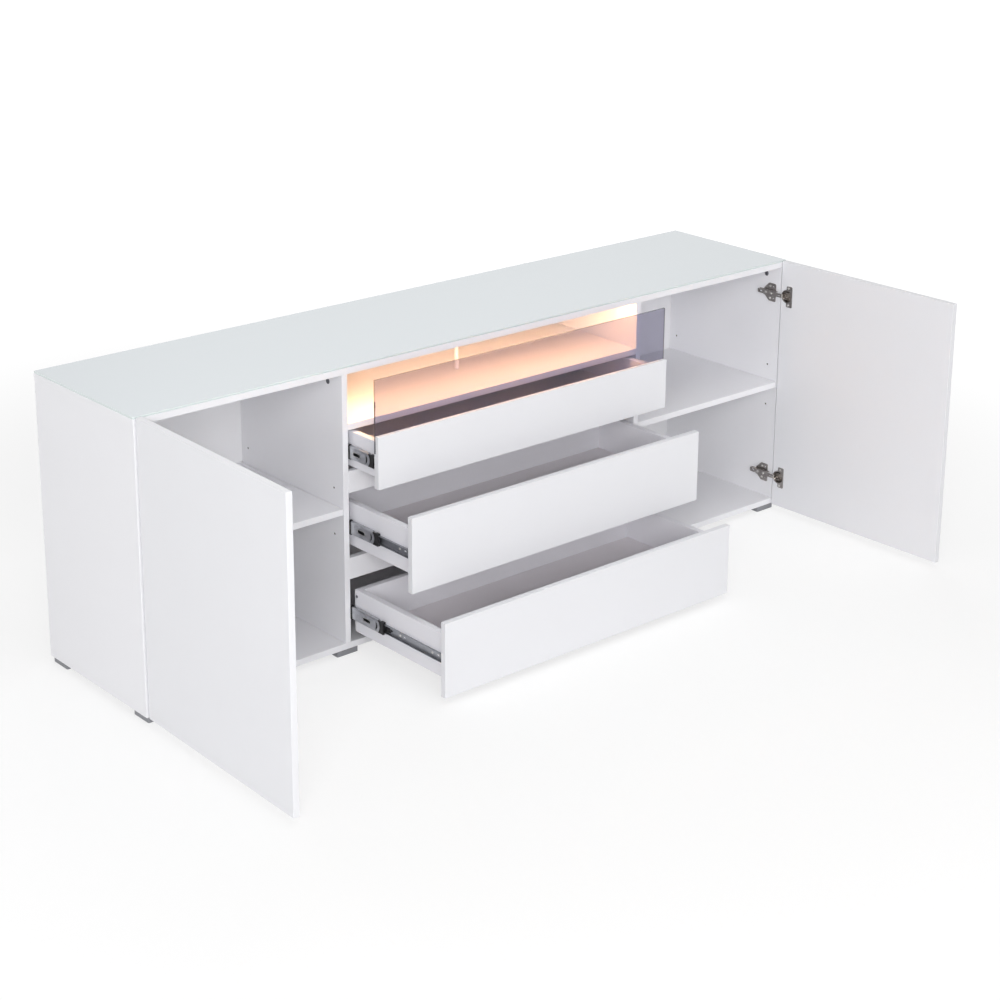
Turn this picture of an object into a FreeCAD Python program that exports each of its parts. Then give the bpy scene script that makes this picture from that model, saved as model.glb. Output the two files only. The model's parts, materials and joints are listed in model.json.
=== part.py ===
import FreeCAD, Part
import math
import os
import re
import Sketcher

# Sideboard with two hinged doors, three drawers on ball slides and a lit niche.
# The model stands in the photographed pose: doors open, drawers pulled out in steps.
# Frame: +X to the right seen from the front, front faces -Y, +Z up.
# The origin is on the floor, at the centre of the carcass footprint. Sizes are in millimetres.

DIMENSIONS = [
    # Carcass
    ("top_width", 2100), ("carcass_depth", 430), ("overall_height", 735), ("board", 16),
    ("glass_thickness", 5), ("glass_chamfer", 0.8), ("top_overhang", 1), ("divider_offset", 479.5),
    ("back_thickness", 3), ("back_recess", 3), ("groove_depth", 5),
    ("foot_height", 16), ("foot_size", 62), ("foot_inset_side", 6), ("foot_inset_front", 3),
    # Shelves and their pins
    ("shelf_top", 381), ("shelf_setback", 1), ("shelf_clearance", 1),
    ("pin_setback_front", 37), ("pin_setback_rear", 34), ("pin_spacing", 59), ("pin_hole_depth", 10),
    ("pin_hole_radius", 2.5), ("pin_fit", 0.05), ("pin_rise", 1), ("pin_end_gap", 1),
    ("tongue_length", 10), ("tongue_width", 12), ("tongue_thickness", 3),
    # Cam locks that pull the top down onto the uprights
    ("cam_radius", 7), ("cam_depth", 12), ("cam_fit", 0.1), ("cam_offset", 160), ("cam_drop", 27),
    ("dowel_radius", 3), ("dowel_depth", 11),
    # Niche, its light and its centre post
    ("niche_step", 2), ("led_width", 17), ("led_height", 8), ("led_wall", 1.5), ("led_setback", 25),
    ("led_end_gap", 10), ("diffuser_thickness", 2), ("post_radius", 5.5), ("post_setback", 169),
    # Doors
    ("front_gap", 3.5), ("door_gap", 3), ("door_open_angle", 91.3),
    ("hinge_from_top", 98), ("hinge_from_bottom", 87),
    # Cup hinges: one pivot pin in a cup that is sunk in the door
    ("pivot_inset", 8.6), ("pivot_radius", 1.2), ("pivot_clearance", 0.05),
    ("eye_radius", 1.9), ("eye_gap", 0.2), ("cup_edge", 3), ("cup_radius", 17.5), ("cup_skin", 2.7),
    ("cup_wall", 0.8),
    ("cup_floor", 0.6), ("cup_fit", 0.1), ("flange_rim", 1.5), ("flange_height", 60),
    ("flange_width", 14), ("flange_shift", 5.5), ("flange_thickness", 1), ("cup_screw_spacing", 48),
    ("neck_half", 6), ("arm_metal", 2.4), ("arm_reach", 19.2),
    ("arm_start", 6), ("arm_tail", 75), ("channel_half", 8), ("channel_wall", 1.2), ("channel_gap", 0.4),
    ("plate_thickness", 2), ("plate_front", 19), ("plate_rear", 55), ("plate_half", 9),
    ("wing_width", 12), ("wing_half", 25), ("rib_gap", 0.2), ("plate_screw_offset", 16),
    ("arm_screw_setback", 45),
    # Screws
    ("screw_radius", 1.75), ("screw_fit", 0.05), ("screw_head_radius", 3.6), ("screw_head_height", 1.2),
    ("cup_screw_length", 11), ("plate_screw_length", 12), ("box_screw_length", 45),
    ("box_screw_gap", 4.7), ("box_screw_high", 17),
    # Drawer fronts and the smoked pane on the upper one
    ("lower_front_height", 188), ("upper_front_height", 131), ("finger_gap", 33), ("front_side_gap", 0.5),
    ("rail_overlap", 8), ("rail_rise", 14), ("pane_thickness", 5), ("pane_seat", 45), ("pane_drop", 10),
    # Drawer boxes
    ("box_board", 16), ("box_depth", 342), ("lower_box_lift", 41.5), ("upper_box_lift", 23),
    ("lower_box_drop", 36.5), ("upper_box_drop", 20), ("bottom_lift", 10), ("bottom_thickness", 4),
    ("bottom_groove", 5),
    # Ball slides: outer rail on the divider, middle rail, inner rail on the drawer side
    ("slide_gap", 12.7), ("slide_metal", 1.2), ("slide_running_gap", 0.3), ("slide_length", 350),
    ("slide_setback", 2), ("outer_depth", 8), ("mid_height", 34), ("mid_length", 340), ("mid_setback", 12),
    ("mid_web_gap", 0.4), ("lip_opening", 22), ("lip_gap", 2.2), ("inner_gap", 2.2),
    ("inner_setback", 2), ("lower_slide_lift", 51), ("upper_slide_lift", 40),
    ("mid_slot_length", 27), ("mid_slot_width", 8), ("mid_slot_setback", 50),
    ("inner_slot_length", 16), ("inner_slot_width", 5), ("inner_slot_front", 33), ("inner_slot_rear", 157),
    ("stop_side_gap", 2.5), ("stop_edge_gap", 1.5), ("stop_end_gap", 1.5), ("stop_seat", 15),
    # How far each middle rail stands out of the carcass, and each drawer out of its middle rail
    ("slide_1_out", 92), ("slide_2_out", 106), ("slide_3_out", 123),
    ("drawer_1_out", 4.1), ("drawer_2_out", 114), ("drawer_3_out", 216.9),
]

FORMULAS = {
    "side_outer": "top_width / 2 - top_overhang",
    "side_inner": "side_outer - board",
    "bay_half": "divider_offset - board / 2",
    "wing_inner": "divider_offset + board / 2",
    "front_plane": "0 - carcass_depth / 2",
    "rear_plane": "carcass_depth / 2",
    "back_rear": "rear_plane - back_recess",
    "back_front": "back_rear - back_thickness",
    "base_top": "foot_height + board",
    "top_top": "overall_height - glass_thickness",
    "top_bottom": "top_top - board",
    "shelf_bottom": "shelf_top - board",
    "pin_level": "shelf_bottom + pin_rise",
    "pin_row_front": "front_plane + pin_setback_front",
    "pin_row_rear": "rear_plane - pin_setback_rear",
    "cam_level": "top_bottom - cam_drop",
    "niche_floor_top": "front_1_top + niche_step",
    "pin_length": "pin_hole_depth - pin_end_gap",
    "door_width": "side_outer - front_half - door_gap",
    "cup_depth": "board - cup_skin",
    "pivot_depth": "cup_depth - cup_floor - eye_radius - eye_gap",
    "pivot_half": "sqrt((cup_radius - cup_wall / 2) ^ 2 - (cup_centre + pivot_radius) ^ 2)",
    "pivot_x": "side_outer - pivot_inset",
    "pivot_y": "front_plane - front_gap - pivot_depth",
    "hinge_upper": "overall_height - hinge_from_top",
    "hinge_lower": "foot_height + hinge_from_bottom",
    "cup_centre": "cup_edge + cup_radius - pivot_inset",
    "flange_centre": "cup_centre + flange_shift",
    "arm_face": "pivot_x - arm_reach",
    "arm_back": "arm_face + arm_metal",
    "plate_face": "side_inner - plate_thickness",
    "front_half": "bay_half - front_side_gap",
    "front_3_bottom": "foot_height",
    "front_3_top": "front_3_bottom + lower_front_height",
    "front_2_bottom": "front_3_top + finger_gap",
    "front_2_top": "front_2_bottom + lower_front_height",
    "front_1_bottom": "front_2_top + finger_gap",
    "front_1_top": "front_1_bottom + upper_front_height",
    "face_1": "front_plane - front_gap - slide_1_out - drawer_1_out",
    "face_2": "front_plane - front_gap - slide_2_out - drawer_2_out",
    "face_3": "front_plane - front_gap - slide_3_out - drawer_3_out",
    "box_half": "bay_half - slide_gap",
    "box_inner": "box_half - box_board",
    "box_1_bottom": "front_1_bottom + upper_box_lift",
    "box_2_bottom": "front_2_bottom + lower_box_lift",
    "box_3_bottom": "front_3_bottom + lower_box_lift",
    "box_1_top": "front_1_top - upper_box_drop",
    "box_2_top": "front_2_top - lower_box_drop",
    "box_3_top": "front_3_top - lower_box_drop",
    "slide_1_level": "box_1_bottom + upper_slide_lift",
    "slide_2_level": "box_2_bottom + lower_slide_lift",
    "slide_3_level": "box_3_bottom + lower_slide_lift",
    "mid_1_front": "front_plane + mid_setback - slide_1_out",
    "mid_2_front": "front_plane + mid_setback - slide_2_out",
    "mid_3_front": "front_plane + mid_setback - slide_3_out",
    "outer_height": "mid_height + 2 * slide_running_gap + 2 * slide_metal",
    "mid_web": "slide_metal + mid_web_gap",
    "mid_depth": "slide_gap - lip_gap - mid_web",
    "lip": "(mid_height - lip_opening) / 2",
    "inner_height": "lip_opening - 2 * slide_running_gap",
    "inner_depth": "slide_gap - mid_web - slide_metal - inner_gap",
    "inner_length": "box_depth - 2 * inner_setback",
    "stop_thickness": "slide_gap - mid_web - 2 * slide_metal - stop_side_gap",
    "stop_half": "inner_height / 2 - slide_metal - stop_edge_gap",
    "stop_projection": "mid_setback + front_gap - stop_end_gap",
}

LEFT = -1
RIGHT = 1
SIDES = (LEFT, RIGHT)
SIDE_NAMES = {LEFT: "left", RIGHT: "right"}
HINGE_LEVELS = ("hinge_upper", "hinge_lower")
DRAWERS = (1, 2, 3)

doc = FreeCAD.newDocument("Sideboard")
sheet = doc.addObject("Spreadsheet::Sheet", "Dims")
for row, (alias, value) in enumerate(DIMENSIONS, start=1):
    sheet.set(f"A{row}", alias)
    sheet.set(f"B{row}", str(value))
    sheet.setAlias(f"B{row}", alias)
doc.recompute()

aliases = {alias for alias, value in DIMENSIONS}
nodes = []
serial = {}


# Writing expressions

def formula(text):
    """Returns text as a document expression, with every dimension and formula name resolved."""
    def resolve(match):
        word = match.group(0)
        if word in FORMULAS:
            return "(" + formula(FORMULAS[word]) + ")"
        return "Dims." + word if word in aliases else word
    return re.sub(r"[a-z][a-z_0-9]*", resolve, text)


def mirrored(side, low, high):
    """Span from low to high on the right of the centre plane, or its mirror image on the left."""
    return (low, high) if side == RIGHT else (f"0 - ({high})", f"0 - ({low})")


def signed(side, text):
    return text if side == RIGHT else f"0 - ({text})"


def about(middle, half):
    """Span that reaches half to each side of the middle."""
    return (f"{middle} - ({half})", f"{middle} + {half}")


def bind(solid, **expressions):
    for prop, text in expressions.items():
        solid.setExpression(prop, formula(text))


def place(solid, x="0", y="0", z="0"):
    for axis, text in (("x", x), ("y", y), ("z", z)):
        solid.setExpression(f"Placement.Base.{axis}", formula(text))


# Building solids

def new(kind, name):
    """Adds an object whose name carries a running number."""
    serial[name] = serial.get(name, 0) + 1
    return doc.addObject(kind, f"{name}_{serial[name]}")


def box(name, x, y, z):
    """Box between the spans x, y and z."""
    solid = new("Part::Box", name)
    spans = {"Length": x, "Width": y, "Height": z}
    bind(solid, **{prop: f"{high} - ({low})" for prop, (low, high) in spans.items()})
    place(solid, x[0], y[0], z[0])
    return solid


def rod(name, axis, radius, x, y, z):
    """Cylinder along an axis: the coordinate on that axis is a span, the other two are points."""
    solid = new("Part::Cylinder", name)
    turns = {"x": ((0, 1, 0), 90), "y": ((1, 0, 0), -90), "z": ((0, 0, 1), 0)}
    direction, angle = turns[axis]
    solid.Placement = FreeCAD.Placement(FreeCAD.Vector(), FreeCAD.Rotation(FreeCAD.Vector(*direction), angle))
    where = {"x": x, "y": y, "z": z}
    low, high = where[axis]
    bind(solid, Radius=radius, Height=f"{high} - ({low})")
    where[axis] = low
    place(solid, **where)
    return solid


def group(name, solids):
    """Several separate solids as one object."""
    if len(solids) == 1:
        return solids[0]
    joined = new("Part::Compound", name)
    joined.Links = solids
    return joined


def fuse(name, solids):
    joined = new("Part::MultiFuse", name)
    joined.Shapes = solids
    return joined


def cut(name, base, tools):
    rest = new("Part::Cut", name)
    rest.Base = base
    rest.Tool = group(f"{name}_tools", tools)
    return rest


def slot(name, x, y, z, length, width):
    """Round-ended slot through a wall that faces along X. Its long way is along Y, centred on y."""
    reach = f"({length} - {width}) / 2"
    middle = box(f"{name}_middle", x, about(y, reach), about(z, f"{width} / 2"))
    ends = [rod(f"{name}_end", "x", f"{width} / 2", x, f"{y} {sign} {reach}", z) for sign in "+-"]
    return fuse(name, [middle] + ends)


def origin_plane(body, role):
    return next(plane for plane in body.Origin.OriginFeatures if plane.Role == role)


def outline_sketch(body, role, points):
    """Closed sketch on an origin plane; each corner is held by its two distances from the origin."""
    sketch = body.newObject("Sketcher::SketchObject", f"{body.Name}_outline")
    sketch.AttachmentSupport = [(origin_plane(body, role), "")]
    sketch.MapMode = "FlatFace"
    count = len(points)
    start_radius = 10
    turns = [2 * math.pi * corner / count for corner in range(count)]
    corners = [
        FreeCAD.Vector(start_radius * (2 + math.cos(turn)), start_radius * (2 + math.sin(turn)), 0)
        for turn in turns
    ]
    for corner in range(count):
        sketch.addGeometry(Part.LineSegment(corners[corner], corners[(corner + 1) % count]), False)
    for corner in range(count):
        sketch.addConstraint(Sketcher.Constraint("Coincident", corner, 2, (corner + 1) % count, 1))
    for corner, (along, up) in enumerate(points):
        start = corners[corner]
        for kind, value, text in (("DistanceX", start.x, along), ("DistanceY", start.y, up)):
            held = sketch.addConstraint(Sketcher.Constraint(kind, -1, 1, corner, 1, value))
            sketch.setExpression(f"Constraints[{held}]", formula(text))
    return sketch


def padded_body(name, role, points, length):
    """Body made by padding an outline that is drawn on one of its origin planes."""
    serial[name] = serial.get(name, 0) + 1
    body = doc.addObject("PartDesign::Body", f"{name}_{serial[name]}")
    pad = body.newObject("PartDesign::Pad", f"{body.Name}_pad")
    pad.Profile = outline_sketch(body, role, points)
    pad.setExpression("Length", formula(length))
    body.Tip = pad
    return body


def node(label, solid):
    solid.Label = label
    nodes.append(solid)
    return solid


# Carcass

ALL_DEPTH = ("front_plane", "rear_plane")
CAM_ROWS = ("cam_offset", "0 - cam_offset")
PIN_ROWS = ("pin_row_front", "pin_row_rear")


def dowel_holes(side, middle, low, high):
    """Upright holes for the top's dowels, in the middle of an upright board."""
    radius = "dowel_radius + cam_fit"
    return [rod("dowel_hole", "z", radius, signed(side, middle), y, (low, high)) for y in CAM_ROWS]


def cam_pockets(side, face, inward):
    """Blind pockets for the cam locks, in the board face that looks into a door compartment."""
    span = mirrored(side, *((face, f"{face} + cam_depth") if inward > 0 else (f"{face} - cam_depth", face)))
    return [rod("cam_pocket", "x", "cam_radius + cam_fit", span, y, "cam_level") for y in CAM_ROWS]


def pin_holes(side, face, inward):
    """Two rows of shelf pin holes in the board face that looks into a door compartment."""
    reach = (face, f"{face} + pin_hole_depth") if inward > 0 else (f"{face} - pin_hole_depth", face)
    levels = [f"pin_level + {step} * pin_spacing" for step in (-1, 0, 1)]
    return [
        rod("pin_hole", "x", "pin_hole_radius", mirrored(side, *reach), y, level)
        for y in PIN_ROWS for level in levels
    ]


def back_groove(x, z):
    return box("back_groove", x, ("back_front", "back_rear"), z)


def make_top():
    slab = box("top_slab", ("0 - top_width / 2", "top_width / 2"), ALL_DEPTH, ("top_bottom", "top_top"))
    reach = "side_inner + groove_depth"
    tools = [back_groove((f"0 - ({reach})", reach), ("top_bottom", "top_bottom + groove_depth"))]
    for side in SIDES:
        for middle in ("side_inner + board / 2", "divider_offset"):
            tools += dowel_holes(side, middle, "top_bottom", "top_bottom + dowel_depth")
    node("top_panel", cut("top_panel", slab, tools))

    corners = [("0", "0"), ("top_width", "0"), ("top_width", "carcass_depth"), ("0", "carcass_depth")]
    glass = padded_body("top_glass", "XY_Plane", corners, "glass_thickness")
    place(glass, "0 - top_width / 2", "front_plane", "top_top")
    doc.recompute()
    pad = glass.Tip
    upper = max(range(len(pad.Shape.Faces)), key=lambda index: pad.Shape.Faces[index].CenterOfMass.z)
    chamfer = glass.newObject("PartDesign::Chamfer", "glass_edge")
    chamfer.Base = (pad, [f"Face{upper + 1}"])
    chamfer.setExpression("Size", formula("glass_chamfer"))
    glass.Tip = chamfer
    node("top_glass", glass)


def make_uprights():
    for side in SIDES:
        span = mirrored(side, "side_inner", "side_outer")
        slab = box("side_slab", span, ALL_DEPTH, ("foot_height", "top_bottom"))
        groove = mirrored(side, "side_inner", "side_inner + groove_depth")
        tools = [back_groove(groove, ("base_top - groove_depth", "top_bottom"))]
        tools += pin_holes(side, "side_inner", 1) + cam_pockets(side, "side_inner", 1)
        tools += dowel_holes(side, "side_inner + board / 2", "cam_level", "top_bottom")
        tools += plate_screws("plate_screw_hole", side, "screw_radius + screw_fit", with_heads=False)
        node(f"side_{SIDE_NAMES[side]}", cut("side", slab, tools))

        height = ("base_top", "top_bottom")
        slab = box("divider_slab", mirrored(side, "bay_half", "wing_inner"), ALL_DEPTH, height)
        tools = [
            back_groove(mirrored(side, "bay_half", "bay_half + groove_depth"), height),
            back_groove(mirrored(side, "wing_inner - groove_depth", "wing_inner"), height),
        ]
        tools += pin_holes(side, "wing_inner", -1) + cam_pockets(side, "wing_inner", -1)
        tools += dowel_holes(side, "divider_offset", "cam_level", "top_bottom")
        node(f"divider_{SIDE_NAMES[side]}", cut("divider", slab, tools))


def make_bottom_and_rails():
    width = ("0 - side_inner", "side_inner")
    slab = box("bottom_slab", width, ALL_DEPTH, ("foot_height", "base_top"))
    groove = back_groove(width, ("base_top - groove_depth", "base_top"))
    node("bottom_panel", cut("bottom_panel", slab, [groove]))

    bay = ("0 - bay_half", "bay_half")
    floor = ("niche_floor_top - board", "niche_floor_top")
    node("niche_floor", box("niche_floor", bay, ("front_plane", "back_front"), floor))
    for label, gap_bottom in (("rail_lower", "front_3_top"), ("rail_upper", "front_2_top")):
        height = (f"{gap_bottom} - rail_overlap", f"{gap_bottom} + finger_gap + rail_rise")
        node(label, box(label, bay, ("front_plane", "front_plane + board"), height))


def make_backs():
    thickness = ("back_front", "back_rear")
    height = ("base_top - groove_depth", "top_bottom + groove_depth")
    reach = "bay_half + groove_depth"
    node("back_center", box("back_center", (f"0 - ({reach})", reach), thickness, height))
    for side in SIDES:
        span = mirrored(side, "wing_inner - groove_depth", "side_inner + groove_depth")
        node(f"back_{SIDE_NAMES[side]}", box("back_wing", span, thickness, height))


def make_shelves():
    pins = []
    for side in SIDES:
        span = mirrored(side, "wing_inner + shelf_clearance", "side_inner - shelf_clearance")
        depth = ("front_plane + shelf_setback", "back_front - shelf_clearance")
        node(f"shelf_{SIDE_NAMES[side]}", box("shelf", span, depth, ("shelf_bottom", "shelf_top")))
        for y in PIN_ROWS:
            pins.append(shelf_pin(side, y, ("side_inner - shelf_clearance / 2", "side_inner + pin_length"),
                                  ("side_inner - tongue_length", "side_inner")))
            pins.append(shelf_pin(side, y, ("wing_inner - pin_length", "wing_inner + shelf_clearance / 2"),
                                  ("wing_inner", "wing_inner + tongue_length")))
    node("shelf_pins", group("shelf_pins", pins))


def shelf_pin(side, y, stud_span, tongue_span):
    """Stud in a board's hole with a flat tongue that carries the shelf."""
    radius = "pin_hole_radius - pin_fit"
    stud = rod("pin_stud", "x", radius, mirrored(side, *stud_span), y, "pin_level")
    tongue = box("pin_tongue", mirrored(side, *tongue_span), about(y, "tongue_width / 2"),
                 ("shelf_bottom - tongue_thickness", "shelf_bottom"))
    return fuse("shelf_pin", [stud, tongue])


def make_feet():
    outer = ("side_outer - foot_inset_side - foot_size", "side_outer - foot_inset_side")
    inner = about("divider_offset", "foot_size / 2")
    front = ("front_plane + foot_inset_front", "front_plane + foot_inset_front + foot_size")
    rear = ("rear_plane - foot_inset_front - foot_size", "rear_plane - foot_inset_front")
    feet = [
        box("foot", mirrored(side, *across), along, ("0", "foot_height"))
        for side in SIDES for across in (outer, inner) for along in (front, rear)
    ]
    node("feet", group("feet", feet))


def make_cams():
    cams = []
    dowels = []
    foot_of_dowel = "cam_level + cam_radius + cam_fit"
    for side in SIDES:
        on_side = mirrored(side, "side_inner", "side_inner + cam_depth")
        on_divider = mirrored(side, "wing_inner - cam_depth", "wing_inner")
        for y in CAM_ROWS:
            cams += [rod("cam", "x", "cam_radius", span, y, "cam_level") for span in (on_side, on_divider)]
            dowels += [
                rod("dowel", "z", "dowel_radius", signed(side, middle), y,
                    (foot_of_dowel, "top_bottom + dowel_depth"))
                for middle in ("side_inner + board / 2", "divider_offset")
            ]
    node("cam_fittings", group("cam_fittings", cams + dowels))


def make_niche_fittings():
    across = ("led_end_gap - bay_half", "bay_half - led_end_gap")
    front = "front_plane + led_setback"
    height = ("top_bottom - led_height", "top_bottom")
    channel = (f"{front} + led_wall", f"{front} + led_width - led_wall")
    bar = box("led_bar", across, (front, f"{front} + led_width"), height)
    hollow = box("led_hollow", across, channel, ("top_bottom - led_height", "top_bottom - led_wall"))
    node("led_profile", cut("led_profile", bar, [hollow]))
    lens = ("top_bottom - led_height", "top_bottom - led_height + diffuser_thickness")
    node("led_diffuser", box("led_diffuser", across, channel, lens))
    node("niche_post", rod("niche_post", "z", "post_radius", "0", "front_plane + post_setback",
                           ("niche_floor_top", "top_bottom")))


# Cup hinges, carcass side

def plate_screws(name, side, radius, with_heads=True):
    """The two screws of each mounting plate, or the holes that they need."""
    shank = mirrored(side, "plate_face", "side_inner + plate_screw_length")
    head = mirrored(side, "plate_face - screw_head_height", "plate_face")
    screws = []
    for level in HINGE_LEVELS:
        for sign in "+-":
            z = f"{level} {sign} plate_screw_offset"
            body = rod(name, "x", radius, shank, "pin_row_front", z)
            if with_heads:
                top = rod(f"{name}_head", "x", "screw_head_radius", head, "pin_row_front", z)
                body = fuse(f"{name}_whole", [body, top])
            screws.append(body)
    return screws


def mounting_plates(side):
    plates = []
    base = mirrored(side, "plate_face", "side_inner")
    rib = mirrored(side, "arm_back", "plate_face")
    length = ("front_plane + plate_front", "front_plane + plate_rear")
    for level in HINGE_LEVELS:
        foot = box("plate_foot", base, length, about(level, "plate_half"))
        wings = box("plate_wings", base, about("pin_row_front", "wing_width / 2"), about(level, "wing_half"))
        spine = box("plate_spine", rib, length, about(level, "(channel_half - channel_wall - rib_gap)"))
        plates.append(fuse("plate", [foot, wings, spine]))
    holes = plate_screws("plate_hole", side, "screw_radius + screw_fit", with_heads=False)
    return [cut("plate_drilled", plate, holes) for plate in plates]


def hinge_arm(side, level):
    """Goose-neck arm: an eye round the pivot pin, a leg across and a channel over the plate."""
    web = mirrored(side, "arm_face", "arm_back")
    leg_depth = about("pivot_y", "arm_metal / 2")
    neck = about(level, "neck_half")
    channel = ("front_plane + arm_start", "front_plane + arm_tail")
    pieces = [
        rod("arm_eye", "z", "eye_radius", signed(side, "pivot_x"), "pivot_y", neck),
        box("arm_leg", mirrored(side, "arm_face", "pivot_x"), leg_depth, neck),
        box("arm_neck", web, (leg_depth[0], channel[1]), neck),
        box("arm_web", web, channel, about(level, "channel_half")),
    ]
    lip = mirrored(side, "arm_back", "plate_face - channel_gap")
    upper = (f"{level} + channel_half - channel_wall", f"{level} + channel_half")
    lower = (f"{level} - channel_half", f"{level} - channel_half + channel_wall")
    pieces += [box("arm_lip", lip, channel, height) for height in (upper, lower)]
    bore = rod("arm_bore", "z", "pivot_radius + pivot_clearance", signed(side, "pivot_x"), "pivot_y", neck)
    return cut("arm", fuse("arm_blank", pieces), [bore])


def make_hinge_fixings():
    plates = []
    arms = []
    screws = []
    for side in SIDES:
        plates += mounting_plates(side)
        arms += [hinge_arm(side, level) for level in HINGE_LEVELS]
        screws += plate_screws("plate_screw", side, "screw_radius")
        head = mirrored(side, "arm_face - screw_head_height", "arm_face")
        screws += [
            rod("arm_screw", "x", "screw_head_radius", head, "front_plane + arm_screw_setback", level)
            for level in HINGE_LEVELS
        ]
    node("hinge_plates", group("hinge_plates", plates))
    node("hinge_arms", group("hinge_arms", arms))
    node("hinge_screws", group("hinge_screws", screws))


# Doors. Their pieces are drawn closed, about the pivot axis, and then turned open.

def hang(side, solid):
    """Puts a door piece on its pivot axis, turned by the opening angle."""
    axis = FreeCAD.Vector(0, 0, side)
    first_guess = 90
    solid.Placement = FreeCAD.Placement(FreeCAD.Vector(), FreeCAD.Rotation(axis, first_guess))
    place(solid, signed(side, "pivot_x"), "pivot_y")
    bind(solid, **{"Placement.Rotation.Angle": "door_open_angle"})
    return solid


def along_door(side, low, high):
    """Span along the door, measured from the pivot towards the free edge."""
    return mirrored(-side, low, high)


def cup_screws(name, side, radius, with_heads=True):
    """The two screws of each hinge cup, or the holes that they need."""
    face = "pivot_depth + flange_thickness"
    head = (face, f"{face} + screw_head_height")
    x = signed(-side, "flange_centre")
    screws = []
    for level in HINGE_LEVELS:
        for sign in "+-":
            z = f"{level} {sign} cup_screw_spacing / 2"
            body = rod(name, "y", radius, x, (f"{face} - cup_screw_length", face), z)
            if with_heads:
                top = rod(f"{name}_head", "y", "screw_head_radius", x, head, z)
                body = fuse(f"{name}_whole", [body, top])
            screws.append(body)
    return screws


def hinge_cup(side, level):
    """Pressed cup with a flange that is screwed to the door."""
    x = signed(-side, "cup_centre")
    face = ("pivot_depth", "pivot_depth + flange_thickness")
    wing = along_door(side, "flange_centre - flange_width / 2", "flange_centre + flange_width / 2")
    blank = fuse("cup_blank", [
        rod("cup_wall", "y", "cup_radius", x, ("pivot_depth - cup_depth", "pivot_depth"), level),
        rod("cup_rim", "y", "cup_radius + flange_rim", x, face, level),
        box("cup_wing", wing, face, about(level, "flange_height / 2")),
    ])
    hollow = rod("cup_hollow", "y", "cup_radius - cup_wall", x,
                 ("pivot_depth - cup_depth + cup_floor", face[1]), level)
    return cut("cup_open", blank, [hollow])


def make_doors():
    for side in SIDES:
        name = SIDE_NAMES[side]
        slab = box("door_slab", along_door(side, "0 - pivot_inset", "door_width - pivot_inset"),
                   ("pivot_depth - board", "pivot_depth"), ("foot_height", "overall_height"))
        x = signed(-side, "cup_centre")
        sunk = ("pivot_depth - cup_depth", "pivot_depth")
        pockets = [
            rod("cup_pocket", "y", "cup_radius + cup_fit", x, sunk, level) for level in HINGE_LEVELS
        ]
        hole = "screw_radius + screw_fit"
        holes = cup_screws("door_screw_hole", side, hole, with_heads=False)
        node(f"door_{name}", hang(side, cut("door", slab, pockets + holes)))

        bores = [
            rod("cup_bore", "z", "pivot_radius + pivot_clearance", "0", "0", about(level, "pivot_half"))
            for level in HINGE_LEVELS
        ]
        holes = cup_screws("flange_hole", side, hole, with_heads=False)
        cups = [cut("cup", hinge_cup(side, level), bores + holes) for level in HINGE_LEVELS]
        node(f"hinge_cups_{name}", hang(side, group("hinge_cups", cups)))
        pins = [
            rod("pivot", "z", "pivot_radius", "0", "0", about(level, "pivot_half")) for level in HINGE_LEVELS
        ]
        node(f"hinge_pins_{name}", hang(side, group("hinge_pins", pins)))
        screws = cup_screws("cup_screw", side, "screw_radius")
        node(f"cup_screws_{name}", hang(side, group("cup_screws", screws)))


# Drawers

def box_screws(name, number, side, radius, with_heads=True):
    """Screws through a drawer side into the end of the drawer back, or the holes that they need."""
    y = f"face_{number} + box_depth - box_board / 2"
    shank = mirrored(side, "box_half - box_screw_length", "box_half")
    head = mirrored(side, "box_half", "box_half + screw_head_height")
    screws = []
    below_rail = f"slide_{number}_level - inner_height / 2 - screw_head_radius - box_screw_gap"
    for z in (below_rail, f"box_{number}_top - box_screw_high"):
        body = rod(name, "x", radius, shank, y, z)
        if with_heads:
            top = rod(f"{name}_head", "x", "screw_head_radius", head, y, z)
            body = fuse(f"{name}_whole", [body, top])
        screws.append(body)
    return screws


def make_front(number):
    face = f"face_{number}"
    across = ("0 - front_half", "front_half")
    top = f"front_{number}_top"
    slab = box("front_slab", across, (f"{face} - board", face), (f"front_{number}_bottom", top))
    if number > 1:
        node(f"drawer_{number}_front", slab)
        return
    seat = (f"{face} - pane_thickness", face)
    pane_bottom = f"{top} - pane_seat"
    rebate = box("pane_rebate", across, seat, (pane_bottom, top))
    node("drawer_1_front", cut("front", slab, [rebate]))
    node("smoked_pane", box("smoked_pane", across, seat, (pane_bottom, "overall_height - pane_drop")))


def make_drawer_box(number):
    face = f"face_{number}"
    rear = f"{face} + box_depth"
    bottom = f"box_{number}_bottom"
    top = f"box_{number}_top"
    floor = (f"{bottom} + bottom_lift", f"{bottom} + bottom_lift + bottom_thickness")
    hole = "screw_radius + screw_fit"
    walls = []
    screws = []
    back_holes = []
    for side in SIDES:
        slab = box("box_side", mirrored(side, "box_inner", "box_half"), (face, rear), (bottom, top))
        inside = mirrored(side, "box_inner", "box_inner + bottom_groove")
        tools = [box("box_groove", inside, (face, rear), floor)]
        tools += box_screws("side_hole", number, side, hole, with_heads=False)
        walls.append(cut("box_side", slab, tools))
        back_holes += box_screws("back_hole", number, side, hole, with_heads=False)
        screws += box_screws("box_screw", number, side, "screw_radius")
    node(f"drawer_{number}_sides", group("box_sides", walls))
    panel = box("box_back", ("0 - box_inner", "box_inner"), (f"{rear} - box_board", rear), (floor[1], top))
    node(f"drawer_{number}_back", cut("box_back", panel, back_holes))
    reach = "box_inner + bottom_groove"
    node(f"drawer_{number}_bottom", box("box_bottom", (f"0 - ({reach})", reach), (face, rear), floor))
    node(f"drawer_{number}_screws", group("box_screws", screws))


# Ball slides

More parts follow.
